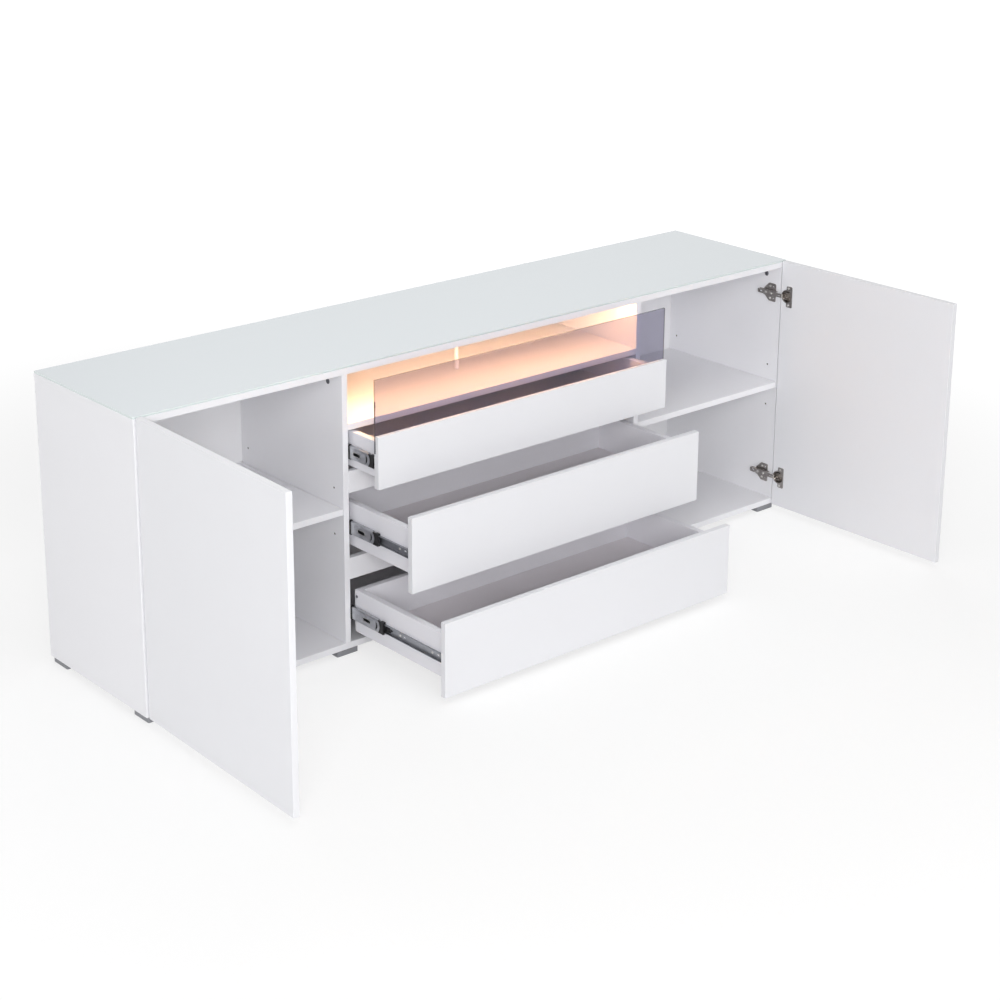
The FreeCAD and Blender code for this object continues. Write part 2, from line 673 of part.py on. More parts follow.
OUTER_RAIL = [
    ("0", "0"), ("outer_depth", "0"), ("outer_depth", "slide_metal"), ("slide_metal", "slide_metal"),
    ("slide_metal", "outer_height - slide_metal"), ("outer_depth", "outer_height - slide_metal"),
    ("outer_depth", "outer_height"), ("0", "outer_height"),
]
MID_RAIL = [
    ("0", "0"), ("mid_depth", "0"), ("mid_depth", "lip"), ("mid_depth - slide_metal", "lip"),
    ("mid_depth - slide_metal", "slide_metal"), ("slide_metal", "slide_metal"),
    ("slide_metal", "mid_height - slide_metal"), ("mid_depth - slide_metal", "mid_height - slide_metal"),
    ("mid_depth - slide_metal", "mid_height - lip"), ("mid_depth", "mid_height - lip"),
    ("mid_depth", "mid_height"), ("0", "mid_height"),
]
INNER_RAIL = [
    ("0", "0"), ("inner_depth", "0"), ("inner_depth", "inner_height"), ("0", "inner_height"),
    ("0", "inner_height - slide_metal"), ("inner_depth - slide_metal", "inner_height - slide_metal"),
    ("inner_depth - slide_metal", "slide_metal"), ("0", "slide_metal"),
]


def slide_rail(name, side, outline, start, height, level, rear, length):
    """Rolled rail. Its outline starts at a distance from the divider and runs towards the drawer."""
    rail = padded_body(name, "XZ_Plane", outline, length)
    if side == RIGHT:
        half_turn = FreeCAD.Rotation(FreeCAD.Vector(0, 1, 0), 180)
        rail.Placement = FreeCAD.Placement(FreeCAD.Vector(), half_turn)
        place(rail, f"bay_half - ({start})", rear, f"{level} + {height} / 2")
    else:
        place(rail, f"{start} - bay_half", rear, f"{level} - {height} / 2")
    return rail


def make_slides(number):
    level = f"slide_{number}_level"
    mid_front = f"mid_{number}_front"
    face = f"face_{number}"
    outers = []
    mids = []
    inners = []
    stops = []
    for side in SIDES:
        outers.append(slide_rail("outer_rail", side, OUTER_RAIL, "0", "outer_height", level,
                                 "front_plane + slide_setback + slide_length", "slide_length"))
        mid = slide_rail("mid_rail", side, MID_RAIL, "mid_web", "mid_height", level,
                         f"{mid_front} + mid_length", "mid_length")
        web = mirrored(side, "bay_half - mid_web - slide_metal", "bay_half - mid_web")
        middle = f"{mid_front} + mid_slot_setback"
        window = slot("mid_slot", web, middle, level, "mid_slot_length", "mid_slot_width")
        mids.append(cut("mid_rail_cut", mid, [window]))

        inner = slide_rail("inner_rail", side, INNER_RAIL, "slide_gap - inner_depth", "inner_height", level,
                           f"{face} + inner_setback + inner_length", "inner_length")
        web = mirrored(side, "box_half", "box_half + slide_metal")
        windows = [
            slot("inner_slot", web, f"{face} + {setback}", level, "inner_slot_length", "inner_slot_width")
            for setback in ("inner_slot_front", "inner_slot_rear")
        ]
        inners.append(cut("inner_rail_cut", inner, windows))

        seat = "bay_half - mid_web - slide_metal"
        stops.append(box("slide_stop", mirrored(side, f"{seat} - stop_thickness", seat),
                         (f"{mid_front} - stop_projection", f"{mid_front} + stop_seat"),
                         about(level, "stop_half")))
    node(f"outer_rails_{number}", group("outer_rails", outers))
    node(f"mid_rails_{number}", group("mid_rails", mids))
    node(f"slide_stops_{number}", group("slide_stops", stops))
    node(f"inner_rails_{number}", group("inner_rails", inners))


# Putting it together

make_top()
make_uprights()
make_bottom_and_rails()
make_backs()
make_shelves()
make_feet()
make_cams()
make_niche_fittings()
make_hinge_fixings()
make_doors()
for number in DRAWERS:
    make_front(number)
    make_drawer_box(number)
    make_slides(number)
doc.recompute()

failed = [item.Name for item in doc.Objects if {"Invalid", "Error"} & set(item.State)]
failed += [item.Label for item in nodes if item.Shape.isNull() or not item.Shape.isValid()]
if failed:
    raise RuntimeError("not built: " + ", ".join(failed))

os.makedirs("parts", exist_ok=True)
for item in nodes:
    item.Shape.exportStep(f"parts/{item.Label}.step")
print(len(nodes), "sub-parts written")
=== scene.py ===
import json
import math

import bpy
from bpy.props import FloatProperty, FloatVectorProperty, IntProperty, PointerProperty
from mathutils import Matrix, Quaternion, Vector

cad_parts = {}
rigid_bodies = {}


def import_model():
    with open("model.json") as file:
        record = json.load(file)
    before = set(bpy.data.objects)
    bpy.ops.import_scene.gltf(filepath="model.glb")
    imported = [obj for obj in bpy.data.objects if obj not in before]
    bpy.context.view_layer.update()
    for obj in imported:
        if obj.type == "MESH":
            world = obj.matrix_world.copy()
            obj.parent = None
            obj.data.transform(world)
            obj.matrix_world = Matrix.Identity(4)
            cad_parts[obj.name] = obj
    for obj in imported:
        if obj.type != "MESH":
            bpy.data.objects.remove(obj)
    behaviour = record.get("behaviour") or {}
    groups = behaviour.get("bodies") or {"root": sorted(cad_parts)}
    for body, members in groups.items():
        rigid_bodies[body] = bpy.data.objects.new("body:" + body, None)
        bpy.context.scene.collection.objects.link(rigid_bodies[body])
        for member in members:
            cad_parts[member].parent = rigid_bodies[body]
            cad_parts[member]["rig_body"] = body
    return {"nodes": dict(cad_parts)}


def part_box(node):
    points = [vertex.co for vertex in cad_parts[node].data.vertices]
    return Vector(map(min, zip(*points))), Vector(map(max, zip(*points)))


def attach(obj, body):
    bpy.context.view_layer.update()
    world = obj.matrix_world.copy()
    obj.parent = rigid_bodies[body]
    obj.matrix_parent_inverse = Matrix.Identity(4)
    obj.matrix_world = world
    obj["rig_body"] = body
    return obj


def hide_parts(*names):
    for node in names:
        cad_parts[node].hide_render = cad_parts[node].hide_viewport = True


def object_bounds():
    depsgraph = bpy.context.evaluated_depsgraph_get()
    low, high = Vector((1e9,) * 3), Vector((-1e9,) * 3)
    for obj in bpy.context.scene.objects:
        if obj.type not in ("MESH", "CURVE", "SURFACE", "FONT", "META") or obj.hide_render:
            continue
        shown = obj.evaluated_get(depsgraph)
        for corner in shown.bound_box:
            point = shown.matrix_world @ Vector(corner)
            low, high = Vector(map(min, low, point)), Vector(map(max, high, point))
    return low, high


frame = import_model()
cad_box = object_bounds()

bl_info = {
    "name": "Sideboard Finisher",
    "version": (1, 0, 0),
    "blender": (4, 5, 0),
    "location": "View3D > Sidebar > Sideboard",
    "description": "Dresses the sideboard's frame with eased boards, glass, fittings and finishes",
    "category": "Object",
}

DRAWERS = ("1", "2", "3")
SIDES = ("left", "right")
BOTH_HANDS = (False, True)
MM = 0.001
WHITE = (1.0, 1.0, 1.0, 1.0)

# How much of a direction lies along an axis where it counts as along it, or a face as flat to it
ALONG = 0.9
FLAT = 0.99

# Edges that fold more than SHARP are rounded, and the shading is smooth over folds up to SMOOTH
SHARP = math.radians(32.0)
SMOOTH = math.radians(40.0)


# Settings that a user would change

def length(name, description, default):
    return FloatProperty(name=name, description=description, default=default, min=0.0, unit="LENGTH")


def angle(name, description, degrees):
    return FloatProperty(name=name, description=description, default=math.radians(degrees), subtype="ANGLE")


def amount(name, description, default):
    return FloatProperty(name=name, description=description, default=default, min=0.0)


def colour(name, description, default):
    return FloatVectorProperty(
        name=name, description=description, default=default, size=3, min=0.0, max=1.0, subtype="COLOR"
    )


class SideboardSizes(bpy.types.PropertyGroup):
    """Sizes of the details that the frame leaves plain."""

    board_edge: length("Board Edge", "Radius of the eased edges of the boards", 0.0009)
    drilled: length("Drilled", "Edges shorter than this belong to drilled holes and stay sharp", 0.009)
    metal_edge: length("Metal Edge", "Radius of the edges of pressed steel parts", 0.0004)
    foot_edge: length("Foot Edge", "Radius of the edges of the feet", 0.002)
    glass_corner: length("Glass Corner", "Radius of the corners of the glass", 0.002)
    glass_arris: length("Glass Arris", "Width of the ground arris along the glass edges", 0.0007)
    foot_half: length("Foot Half", "Half the side of a foot", 0.031)
    lens_drop: length("Lens Drop", "How far the opal lens hangs below its channel", 0.007)
    pin_half: length("Pin Half", "Half the length of a hinge pin", 0.011)
    door_swing: angle("Door Swing", "How far the doors stand past a right angle", 1.3)
    edge_steps: IntProperty(name="Edge Steps", description="Facets across each eased edge", default=3, min=1)


class SideboardColours(bpy.types.PropertyGroup):
    """Colours of the finishes."""

    lacquer: colour("Lacquer", "White satin lacquer of the doors and fronts", (0.855, 0.857, 0.885))
    carcass: colour("Carcass", "White facing of the carcass boards", (0.895, 0.893, 0.92))
    # Darker than the raw board core really is: painted shade inside the drilled holes.
    chipboard: colour("Chipboard", "Raw chipboard inside the drilled holes", (0.15, 0.115, 0.085))
    melamine: colour("Melamine", "White melamine of the drawer boxes", (0.875, 0.87, 0.912))
    hardboard: colour("Hardboard", "White faced hardboard of the backs", (0.93, 0.928, 0.945))
    drawer_floor: colour("Drawer Floor", "Warm grey hardboard of the drawer bottoms", (0.84, 0.805, 0.83))
    painted_glass: colour("Painted Glass", "White paint under the glass top", (0.687, 0.75, 0.787))
    glass_edge: colour("Glass Edge", "Polished edge of the glass top", (0.72, 0.80, 0.79))
    smoke: colour("Smoked Glass", "Light that the smoked pane lets through", (0.47, 0.46, 0.55))
    smoke_edge: colour("Smoked Edge", "Dark edge of the smoked pane", (0.03, 0.028, 0.034))
    nickel: colour("Nickel", "Nickel plating of the hinges", (0.46, 0.43, 0.41))
    galvanised: colour("Galvanised", "Zinc coated strip of the slide rails", (0.60, 0.61, 0.64))
    # The inner rails are the same galvanised steel as the other rails; their darker colour is painted shade.
    dull_steel: colour("Galvanised In Shade", "Dull zinc coating of the inner rails", (0.40, 0.41, 0.44))
    bright_zinc: colour("Bright Zinc", "Bright plating of the screws", (0.72, 0.71, 0.69))
    zinc: colour("Zinc", "Cast zinc of the cam locks and pins", (0.26, 0.26, 0.29))
    black_plastic: colour("Black Plastic", "Moulded stops of the slides", (0.012, 0.012, 0.013))
    foot: colour("Foot", "Grey moulded feet", (0.26, 0.265, 0.285))
    aluminium: colour("Aluminium", "Anodised light profile", (0.80, 0.80, 0.81))
    opal: colour("Opal", "Opal plastic of the niche lens", (0.9, 0.88, 0.84))
    warm_light: colour("Warm Light", "Light of the niche strip", (1.0, 0.55, 0.245))
    post: colour("Post", "White lacquer of the niche post", (0.80, 0.79, 0.80))
    light_strength: amount("Light Strength", "Radiance of the niche strip", 46.0)


class SideboardStage(bpy.types.PropertyGroup):
    """Camera, floor and lamps."""

    camera_place: FloatVectorProperty(
        name="Camera Place", description="Where the camera stands", default=(-3.3215, -4.0377, 2.2534),
        size=3, subtype="TRANSLATION", unit="LENGTH",
    )
    camera_azimuth: angle("Camera Azimuth", "Turn of the camera round the object", -40.99)
    camera_elevation: angle("Camera Elevation", "How far the camera looks down", 17.26)
    camera_roll: angle("Camera Roll", "Tilt of the picture", 0.41)
    lens: amount("Lens", "Focal length in millimetres", 77.155)
    shift: FloatProperty(
        name="Shift", description="Vertical lens shift that keeps uprights upright", default=-0.15
    )
    floor_size: length("Floor Size", "Side of the square floor", 40.0)
    floor_colour: colour("Floor Colour", "Pale floor", (0.88, 0.88, 0.88))
    floor_lift: FloatProperty(
        name="Floor Lift", description="Share of plain white in the floor as it is seen", default=0.6,
        min=0.0, max=1.0,
    )
    ambient: amount("Ambient", "Level of the light from all round", 0.25)
    key_power: amount("Key Power", "Watts of the large lamp beyond the camera", 350.0)
    front_power: amount("Front Power", "Watts of the low lamp in front", 58.0)
    side_power: amount("Side Power", "Watts of the lamp on the left", 48.0)
    top_power: amount("Top Power", "Watts of the lamp overhead", 92.0)
    rear_power: amount("Rear Power", "Watts of the lamp behind the back", 60.0)


def sizes():
    return bpy.context.scene.sideboard_sizes


def colours():
    return bpy.context.scene.sideboard_colours


def rgba(value):
    return (*value, 1.0)


# Modelling by operator

def mode(name):
    """Changes between object and edit mode."""
    bpy.ops.object.mode_set(mode=name)


def only(*pieces):
    """Goes to object mode with just these objects selected, the first one active."""
    if bpy.context.object and bpy.context.object.mode != "OBJECT":
        mode("OBJECT")
    bpy.ops.object.select_all(action="DESELECT")
    for piece in pieces:
        piece.select_set(True)
    if pieces:
        bpy.context.view_layer.objects.active = pieces[0]


def pick(piece, kind, test):
    """Enters edit mode with only the faces or edges selected whose middle and direction pass the test."""
    only(piece)
    mode("EDIT")
    bpy.ops.mesh.select_mode(type=kind)
    bpy.ops.mesh.select_all(action="DESELECT")
    mode("OBJECT")
    mesh = piece.data
    if kind == "FACE":
        for face in mesh.polygons:
            face.select = test(face.center, face.normal)
    else:
        for edge in mesh.edges:
            start, end = (mesh.vertices[index].co for index in edge.vertices)
            edge.select = test((start + end) / 2, (end - start).normalized())
    mode("EDIT")


def settle(piece):
    """Puts the piece's place into its mesh."""
    only(piece)
    bpy.ops.object.transform_apply(location=True, rotation=True, scale=True)


def discard(*pieces):
    """Deletes objects together with their meshes."""
    for piece in pieces:
        mesh = piece.data
        bpy.data.objects.remove(piece)
        bpy.data.meshes.remove(mesh)


def block(name, low, high):
    """Box between two corners."""
    only()
    low, high = Vector(low), Vector(high)
    bpy.ops.mesh.primitive_cube_add(size=1.0, location=(low + high) / 2)
    piece = bpy.context.object
    piece.name = name
    piece.scale = high - low
    settle(piece)
    return piece


def merged_copy(node_name, name):
    """Copy of a CAD node with its triangles joined into flat faces, ready for work on its edges."""
    piece = bpy.data.objects.new(name, frame["nodes"][node_name].data.copy())
    bpy.context.scene.collection.objects.link(piece)
    only(piece)
    bpy.ops.mesh.customdata_custom_splitnormals_clear()
    mode("EDIT")
    bpy.ops.mesh.select_all(action="SELECT")
    bpy.ops.mesh.remove_doubles(threshold=0.002 * MM)
    bpy.ops.mesh.dissolve_limited(angle_limit=math.radians(0.5))
    mode("OBJECT")
    return piece


def modifier(piece, kind, **settings):
    """Adds a modifier, sets it and applies it."""
    only(piece)
    bpy.ops.object.modifier_add(type=kind)
    made = piece.modifiers[-1]
    for name, value in settings.items():
        setattr(made, name, value)
    bpy.ops.object.modifier_apply(modifier=made.name)


def soften(piece):
    """Smooths the shading, except over sharp folds."""
    only(piece)
    bpy.ops.object.shade_smooth_by_angle(angle=SMOOTH)
    modifier(piece, "WEIGHTED_NORMAL", keep_sharp=True)


def ease(piece, radius, steps=None, shortest=0.0):
    """Rounds every sharp edge that is long enough and smooths the shading over the rounding."""
    only(piece)
    mode("EDIT")
    bpy.ops.mesh.select_mode(type="EDGE")
    bpy.ops.mesh.select_all(action="DESELECT")
    bpy.ops.mesh.edges_select_sharp(sharpness=SHARP)
    mode("OBJECT")
    mesh = piece.data
    for edge in mesh.edges:
        start, end = (mesh.vertices[index].co for index in edge.vertices)
        edge.select = edge.select and (end - start).length >= shortest
    mode("EDIT")
    bpy.ops.mesh.bevel(
        offset=radius, segments=steps or sizes().edge_steps, affect="EDGES", clamp_overlap=False,
        miter_outer="ARC",
    )
    mode("OBJECT")
    soften(piece)


def chamfer(piece, radius):
    """Rounds the sharp edges of a small part, as far as it has room."""
    modifier(
        piece, "BEVEL", width=radius * MM, segments=2, limit_method="ANGLE", angle_limit=SHARP,
        use_clamp_overlap=True,
    )
    return piece


def round_edges(piece, test, radius):
    """Rounds the edges that pass the test."""
    pick(piece, "EDGE", test)
    bpy.ops.mesh.bevel(offset=radius, segments=4, affect="EDGES")
    mode("OBJECT")


def sink(piece, test, rim, way):
    """Leaves a rim round the faces that pass the test and pushes them in, both in millimetres."""
    pick(piece, "FACE", test)
    bpy.ops.mesh.inset(thickness=rim * MM, depth=0.0)
    bpy.ops.mesh.extrude_region_move(TRANSFORM_OT_translate={"value": Vector(way) * MM})
    outwards(piece)


def outwards(piece):
    """Turns all faces outwards."""
    only(piece)
    mode("EDIT")
    bpy.ops.mesh.select_all(action="SELECT")
    bpy.ops.mesh.normals_make_consistent(inside=False)
    mode("OBJECT")


def bar(name, low, high):
    """Box between two corners in millimetres."""
    return block(name, Vector(low) * MM, Vector(high) * MM)


def rod(name, start, end, radius, facets=32):
    """Round bar between two points in millimetres."""
    start, end = Vector(start) * MM, Vector(end) * MM
    only()
    bpy.ops.mesh.primitive_cylinder_add(
        vertices=facets, radius=radius * MM, depth=(end - start).length, location=(start + end) / 2,
        rotation=(end - start).to_track_quat("Z", "Y").to_euler(),
    )
    piece = bpy.context.object
    piece.name = name
    settle(piece)
    return piece


def rounded(corners, steps=4):
    """Outline with its corners rounded. A corner is two coordinates and a radius."""
    made = []
    for index, (across, up, radius) in enumerate(corners):
        corner = Vector((across, up))
        if radius == 0.0:
            made.append(corner)
            continue
        beside = (corners[index - 1], corners[(index + 1) % len(corners)])
        ways = [(Vector(other[:2]) - corner).normalized() for other in beside]
        half = ways[0].angle(ways[1]) / 2
        centre = corner + (ways[0] + ways[1]).normalized() * radius / math.sin(half)
        start, end = (corner + way * radius / math.tan(half) - centre for way in ways)
        made += [centre + start.lerp(end, step / steps).normalized() * radius for step in range(steps + 1)]
    return made


def arc(centre, radius, first, last, steps):
    """Points of an arc; angles in degrees."""
    across, up = centre
    turns = [math.radians(first + (last - first) * step / steps) for step in range(steps + 1)]
    return [Vector((across + radius * math.cos(turn), up + radius * math.sin(turn))) for turn in turns]


def slot_outline(middle, length, width):
    """Slot along the depth, whose ends are round but for a narrow flat."""
    half, radius = length / 2, width / 2
    corner = 0.98 * radius
    return rounded([
        (middle - half, -radius, corner), (middle + half, -radius, corner),
        (middle + half, radius, corner), (middle - half, radius, corner),
    ], 5)


def rolled(path, metal):
    """Closed profile of sheet metal that lies on the left of a path."""
    ways = [(end - start).normalized() for start, end in zip(path, path[1:])]
    sides = [Vector((-way.y, way.x)) for way in ways]
    inner = []
    for point, before, after in zip(path, sides[:1] + sides, sides + sides[-1:]):
        inner.append(point + (before + after) * metal / (1.0 + before.dot(after)))
    return path + inner[::-1]


def slab(name, points, way):
    """Solid of an outline in millimetres, drawn corner by corner, filled and pulled along a way."""
    points = [Vector(point) * MM for point in points]
    only()
    bpy.ops.mesh.primitive_plane_add(size=MM, location=points[0])
    piece = bpy.context.object
    piece.name = name
    settle(piece)
    mode("EDIT")
    bpy.ops.mesh.select_mode(type="VERT")
    bpy.ops.mesh.select_all(action="SELECT")
    bpy.ops.mesh.merge(type="CENTER")
    for start, end in zip(points, points[1:] + points[:1]):
        bpy.ops.mesh.extrude_vertices_move(TRANSFORM_OT_translate={"value": end - start})
    bpy.ops.mesh.select_all(action="SELECT")
    bpy.ops.mesh.remove_doubles(threshold=0.01 * MM)
    bpy.ops.mesh.select_all(action="SELECT")
    bpy.ops.mesh.edge_face_add()
    bpy.ops.mesh.extrude_region_move(TRANSFORM_OT_translate={"value": Vector(way) * MM})
    outwards(piece)
    return piece


def plate(name, outline, near, far):
    """Solid of an outline in depth and height, between two places across the object."""
    return slab(name, [(near, *point) for point in outline], (far - near, 0.0, 0.0))


def combine(piece, operation, tools):
    """Works tools into a piece one by one and deletes them."""
    for tool in tools:
        modifier(piece, "BOOLEAN", object=tool, operation=operation, solver="EXACT")
        discard(tool)
    return piece


def cut(piece, *tools):
    """Takes the shapes of tools out of a piece."""
    return combine(piece, "DIFFERENCE", tools)


def weld(piece, *tools):
    """Makes one solid of a piece and others."""
    return combine(piece, "UNION", tools)


def cross_tool(front, rear, long, narrow):
    """Tool for a cross recess between two places across; an arm is given by half its sides."""
    return weld(
        bar("recess", (front, -long, -narrow), (rear, long, narrow)),
        bar("recess_across", (front, -narrow, -long), (rear, narrow, long)),
    )


def pan_screw(name, radius, height):
    """Screw head with a cross recess, seated at the origin towards -X, with the start of its shank."""
    shank, recess, arm, narrow = 0.8, 0.75 * height, 0.58 * radius, 0.15 * radius
    head = rod(name, (shank, 0.0, 0.0), (-height, 0.0, 0.0), radius)
    round_edges(head, lambda middle, way: middle.x < -0.9 * height * MM, 0.7 * height * MM)
    return cut(head, cross_tool(-height - 1.0, -height + recess, arm, narrow))


def spot(place, mirrored=False, turn=0.0, twist=0.0):
    """Where a copy goes: twisted about X, turned about the upright, moved, then mirrored to the left."""
    made = Matrix.Translation(Vector(place)) @ Matrix.Rotation(turn, 4, "Z") @ Matrix.Rotation(twist, 4, "X")
    return Matrix.Scale(-1.0, 4, (1.0, 0.0, 0.0)) @ made if mirrored else made


def copies(master, name, spots):
    """Joins copies of a finished shape at their places and smooths the whole."""
    made = []
    for where in spots:
        only(master)
        bpy.ops.object.duplicate(linked=False)
        piece = bpy.context.object
        piece.matrix_world = where
        settle(piece)
        outwards(piece)
        made.append(piece)
    only(*made)
    bpy.ops.object.join()
    whole = bpy.context.object
    whole.name = name
    soften(whole)
    return whole


def fit(piece, material, body, slot, *nodes):
    """Gives a piece its finish, unless it has its own, and its body, and lets it stand for CAD nodes."""
    if material is not None:
        piece.data.materials.clear()
        piece.data.materials.append(material)
    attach(piece, body)
    if nodes:
        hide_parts(*nodes)
    return piece


def paint(material, *nodes):
    """Gives CAD nodes a finish."""
    for name in nodes:
        mesh = frame["nodes"][name].data
        mesh.materials.clear()
        mesh.materials.append(material)


# Node trees

def node(tree, kind, inputs=None, **settings):
    """Adds a node. An input given as a socket is linked, any other is set."""
    made = tree.nodes.new("ShaderNode" + kind)
    for name, value in settings.items():
        setattr(made, name, value)
    for name, value in (inputs or {}).items():
        if isinstance(value, bpy.types.NodeSocket):
            tree.links.new(value, made.inputs[name])
        else:
            made.inputs[name].default_value = value
    return made


def surface_group(name, build, **inputs):
    """Node group of a surface, built at its first use. Sockets are given by name and kind."""
    made = bpy.data.node_groups.get(name)
    if made:
        return made
    made = bpy.data.node_groups.new(name, "ShaderNodeTree")
    for label, kind in inputs.items():
        made.interface.new_socket(label, in_out="INPUT", socket_type="NodeSocket" + kind)
    for label, kind in (("Color", "Color"), ("Roughness", "Float"), ("Height", "Float")):
        made.interface.new_socket(label, in_out="OUTPUT", socket_type="NodeSocket" + kind)
    entry = made.nodes.new("NodeGroupInput")
    leave = made.nodes.new("NodeGroupOutput")
    build(made, entry.outputs, lambda label, socket: made.links.new(socket, leave.inputs[label]))
    return made


def place_vector(tree, scale=(1.0, 1.0, 1.0)):
    """Object coordinates, stretched along the axes."""
    where = node(tree, "TexCoord").outputs["Object"]
    return node(tree, "Mapping", {"Vector": where, "Scale": scale}).outputs["Vector"]


def noise(tree, where, scale, detail):
    """Cloudy value from 0 to 1."""
    return node(tree, "TexNoise", {"Vector": where, "Scale": scale, "Detail": detail}).outputs["Fac"]


def spread(tree, value, low, high):
    """Value from 0 to 1 mapped onto a range."""
    return node(tree, "MapRange", {"Value": value, "To Min": low, "To Max": high}).outputs["Result"]


def reckon(tree, operation, first, second):
    """Result of an operation on two values."""
    return node(tree, "Math", {0: first, 1: second}, operation=operation).outputs[0]


def tinted(tree, base, factor):
    """Colour times a value."""
    return node(tree, "VectorMath", {0: base, "Scale": factor}, operation="SCALE").outputs["Vector"]


# Scale and detail of the clouding and of the rubbed gloss of a skin
CLOUDS = (6.0, 3.0)
RUBS = (38.0, 4.0)


def skin_group():
    """Sprayed or pressed surface: faint clouding, uneven gloss and a fine relief."""
    def build(tree, given, give):
        cloud = noise(tree, given["Vector"], *CLOUDS)
        shade = spread(tree, cloud, reckon(tree, "SUBTRACT", 1.0, given["Clouding"]), 1.0)
        give("Color", tinted(tree, given["Color"], shade))
        rub = noise(tree, given["Vector"], *RUBS)
        give("Roughness", spread(tree, rub, given["Smoothest"], given["Roughest"]))
        give("Height", noise(tree, given["Vector"], given["Grain"], 2.0))

    return surface_group(
        "Surface Skin", build, Vector="Vector", Color="Color", Clouding="Float", Smoothest="Float",
        Roughest="Float", Grain="Float",
    )


def steel_group():
    """Rolled and plated steel: streaks along the strip and a patchwork of zinc crystals."""
    def build(tree, given, give):
        streak = noise(tree, given["Vector"], 1.0, 4.0)
        crystal = node(tree, "TexVoronoi", {"Vector": given["Cells"], "Scale": 1.0}, feature="F1")
        grey = node(tree, "SeparateColor", {"Color": crystal.outputs["Color"]}).outputs["Red"]
        flake = spread(tree, grey, reckon(tree, "SUBTRACT", 1.0, given["Spangle"]), 1.0)
        shade = reckon(tree, "MULTIPLY", flake, spread(tree, streak, 0.9, 1.05))
        give("Color", tinted(tree, given["Color"], shade))
        give("Roughness", spread(tree, streak, given["Smoothest"], given["Roughest"]))
        give("Height", streak)

    return surface_group(
        "Rolled Steel", build, Vector="Vector", Cells="Vector", Color="Color", Spangle="Float",
        Smoothest="Float", Roughest="Float",
    )


# Finishes

# Sprayed, pressed and moulded ones: colour, clouding, least and most roughness, grains per metre and
# depth of the relief in metres
SKINS = {
    "White Lacquer": ("lacquer", 0.02, 0.34, 0.42, 620.0, 0.000012),
    "Carcass White": ("carcass", 0.02, 0.38, 0.48, 700.0, 0.00002),
    # Raw board core with painted shade, for the inside of the drilled holes
    "Raw Chipboard": ("chipboard", 0.3, 0.75, 0.9, 900.0, 0.0002),
    "Drawer Melamine": ("melamine", 0.03, 0.44, 0.56, 900.0, 0.00004),
    "White Hardboard": ("hardboard", 0.03, 0.42, 0.52, 420.0, 0.00003),
    "Drawer Floor": ("drawer_floor", 0.08, 0.48, 0.62, 1100.0, 0.00005),
    "Painted Glass": ("painted_glass", 0.012, 0.30, 0.36, 300.0, 0.000001),
    "Glass Edge": ("glass_edge", 0.05, 0.10, 0.18, 900.0, 0.000004),
    "Smoked Edge": ("smoke_edge", 0.2, 0.12, 0.22, 900.0, 0.000006),
    "Black Plastic": ("black_plastic", 0.3, 0.36, 0.5, 2200.0, 0.00002),
    "Foot Plastic": ("foot", 0.08, 0.40, 0.54, 1500.0, 0.00005),
    "Lit Diffuser": ("opal", 0.04, 0.45, 0.55, 800.0, 0.00002),
    "White Metal": ("post", 0.03, 0.30, 0.42, 900.0, 0.00002),
}

# Metals: colour, streaks per metre along each axis, size of a crystal in metres, spangle, least and most
# roughness and depth of the relief in metres
METALS = {
    "Nickel Plate": ("nickel", (700.0, 90.0, 700.0), 0.004, 0.12, 0.24, 0.38, 0.00001),
    "Galvanised Strip": ("galvanised", (900.0, 14.0, 900.0), 0.009, 0.16, 0.30, 0.46, 0.000008),
    # Same galvanised steel as the strip above, darkened as painted shade for the inner rails
    "Dull Strip": ("dull_steel", (900.0, 14.0, 900.0), 0.009, 0.12, 0.32, 0.48, 0.000008),
    "Bright Zinc": ("bright_zinc", (600.0, 600.0, 600.0), 0.003, 0.06, 0.22, 0.34, 0.000006),
    "Cast Zinc": ("zinc", (500.0, 500.0, 500.0), 0.002, 0.2, 0.36, 0.52, 0.00002),
    "Anodised Aluminium": ("aluminium", (8.0, 700.0, 700.0), 0.01, 0.03, 0.28, 0.40, 0.000006),
}


def plain_values(name):
    """Values that a finish sets on its shader and that are the same all over."""
    if name in METALS:
        return {"Metallic": 1.0}
    return {
        "Painted Glass": {"Coat Weight": 1.0, "Coat Roughness": 0.035, "Coat IOR": 1.52},
        "Glass Edge": {"Coat Weight": 1.0, "Coat Roughness": 0.05},
        "Smoked Glass": {"Base Color": rgba(colours().smoke), "Transmission Weight": 1.0, "IOR": 1.3},
        "Smoked Edge": {"Alpha": 0.65},
        "Lit Diffuser": {
            "Emission Color": rgba(colours().warm_light), "Emission Strength": colours().light_strength,
        },
    }.get(name)


def finish(name):
    """Material of a finish, built at its first use."""
    material = bpy.data.materials.get(name)
    if material is None:
        material = bpy.data.materials.new(name)
        material.use_nodes = True
        tree = material.node_tree
        tree.nodes.clear()
        shader = node(tree, "BsdfPrincipled", plain_values(name))
        output = node(tree, "OutputMaterial", {"Surface": shader.outputs["BSDF"]})
        if name in SKINS:
            skin(tree, shader, *SKINS[name])
        elif name in METALS:
            plated(tree, shader, *METALS[name])
        else:
            see_through(tree, shader, output)
    return material


def wire(tree, shader, surface, depth):
    """Links a surface group's outputs to a shader, with a relief of a real depth in metres."""
    tree.links.new(surface["Color"], shader.inputs["Base Color"])
    tree.links.new(surface["Roughness"], shader.inputs["Roughness"])
    bump = node(tree, "Bump", {"Height": surface["Height"], "Distance": depth, "Strength": 1.0})
    tree.links.new(bump.outputs["Normal"], shader.inputs["Normal"])


def skin(tree, shader, base, clouding, smoothest, roughest, grain, depth):
    """Surface Skin on a shader."""
    surface = node(tree, "Group", {
        "Vector": place_vector(tree), "Color": rgba(getattr(colours(), base)), "Clouding": clouding,
        "Smoothest": smoothest, "Roughest": roughest, "Grain": grain,
    }, node_tree=skin_group())
    wire(tree, shader, surface.outputs, depth)


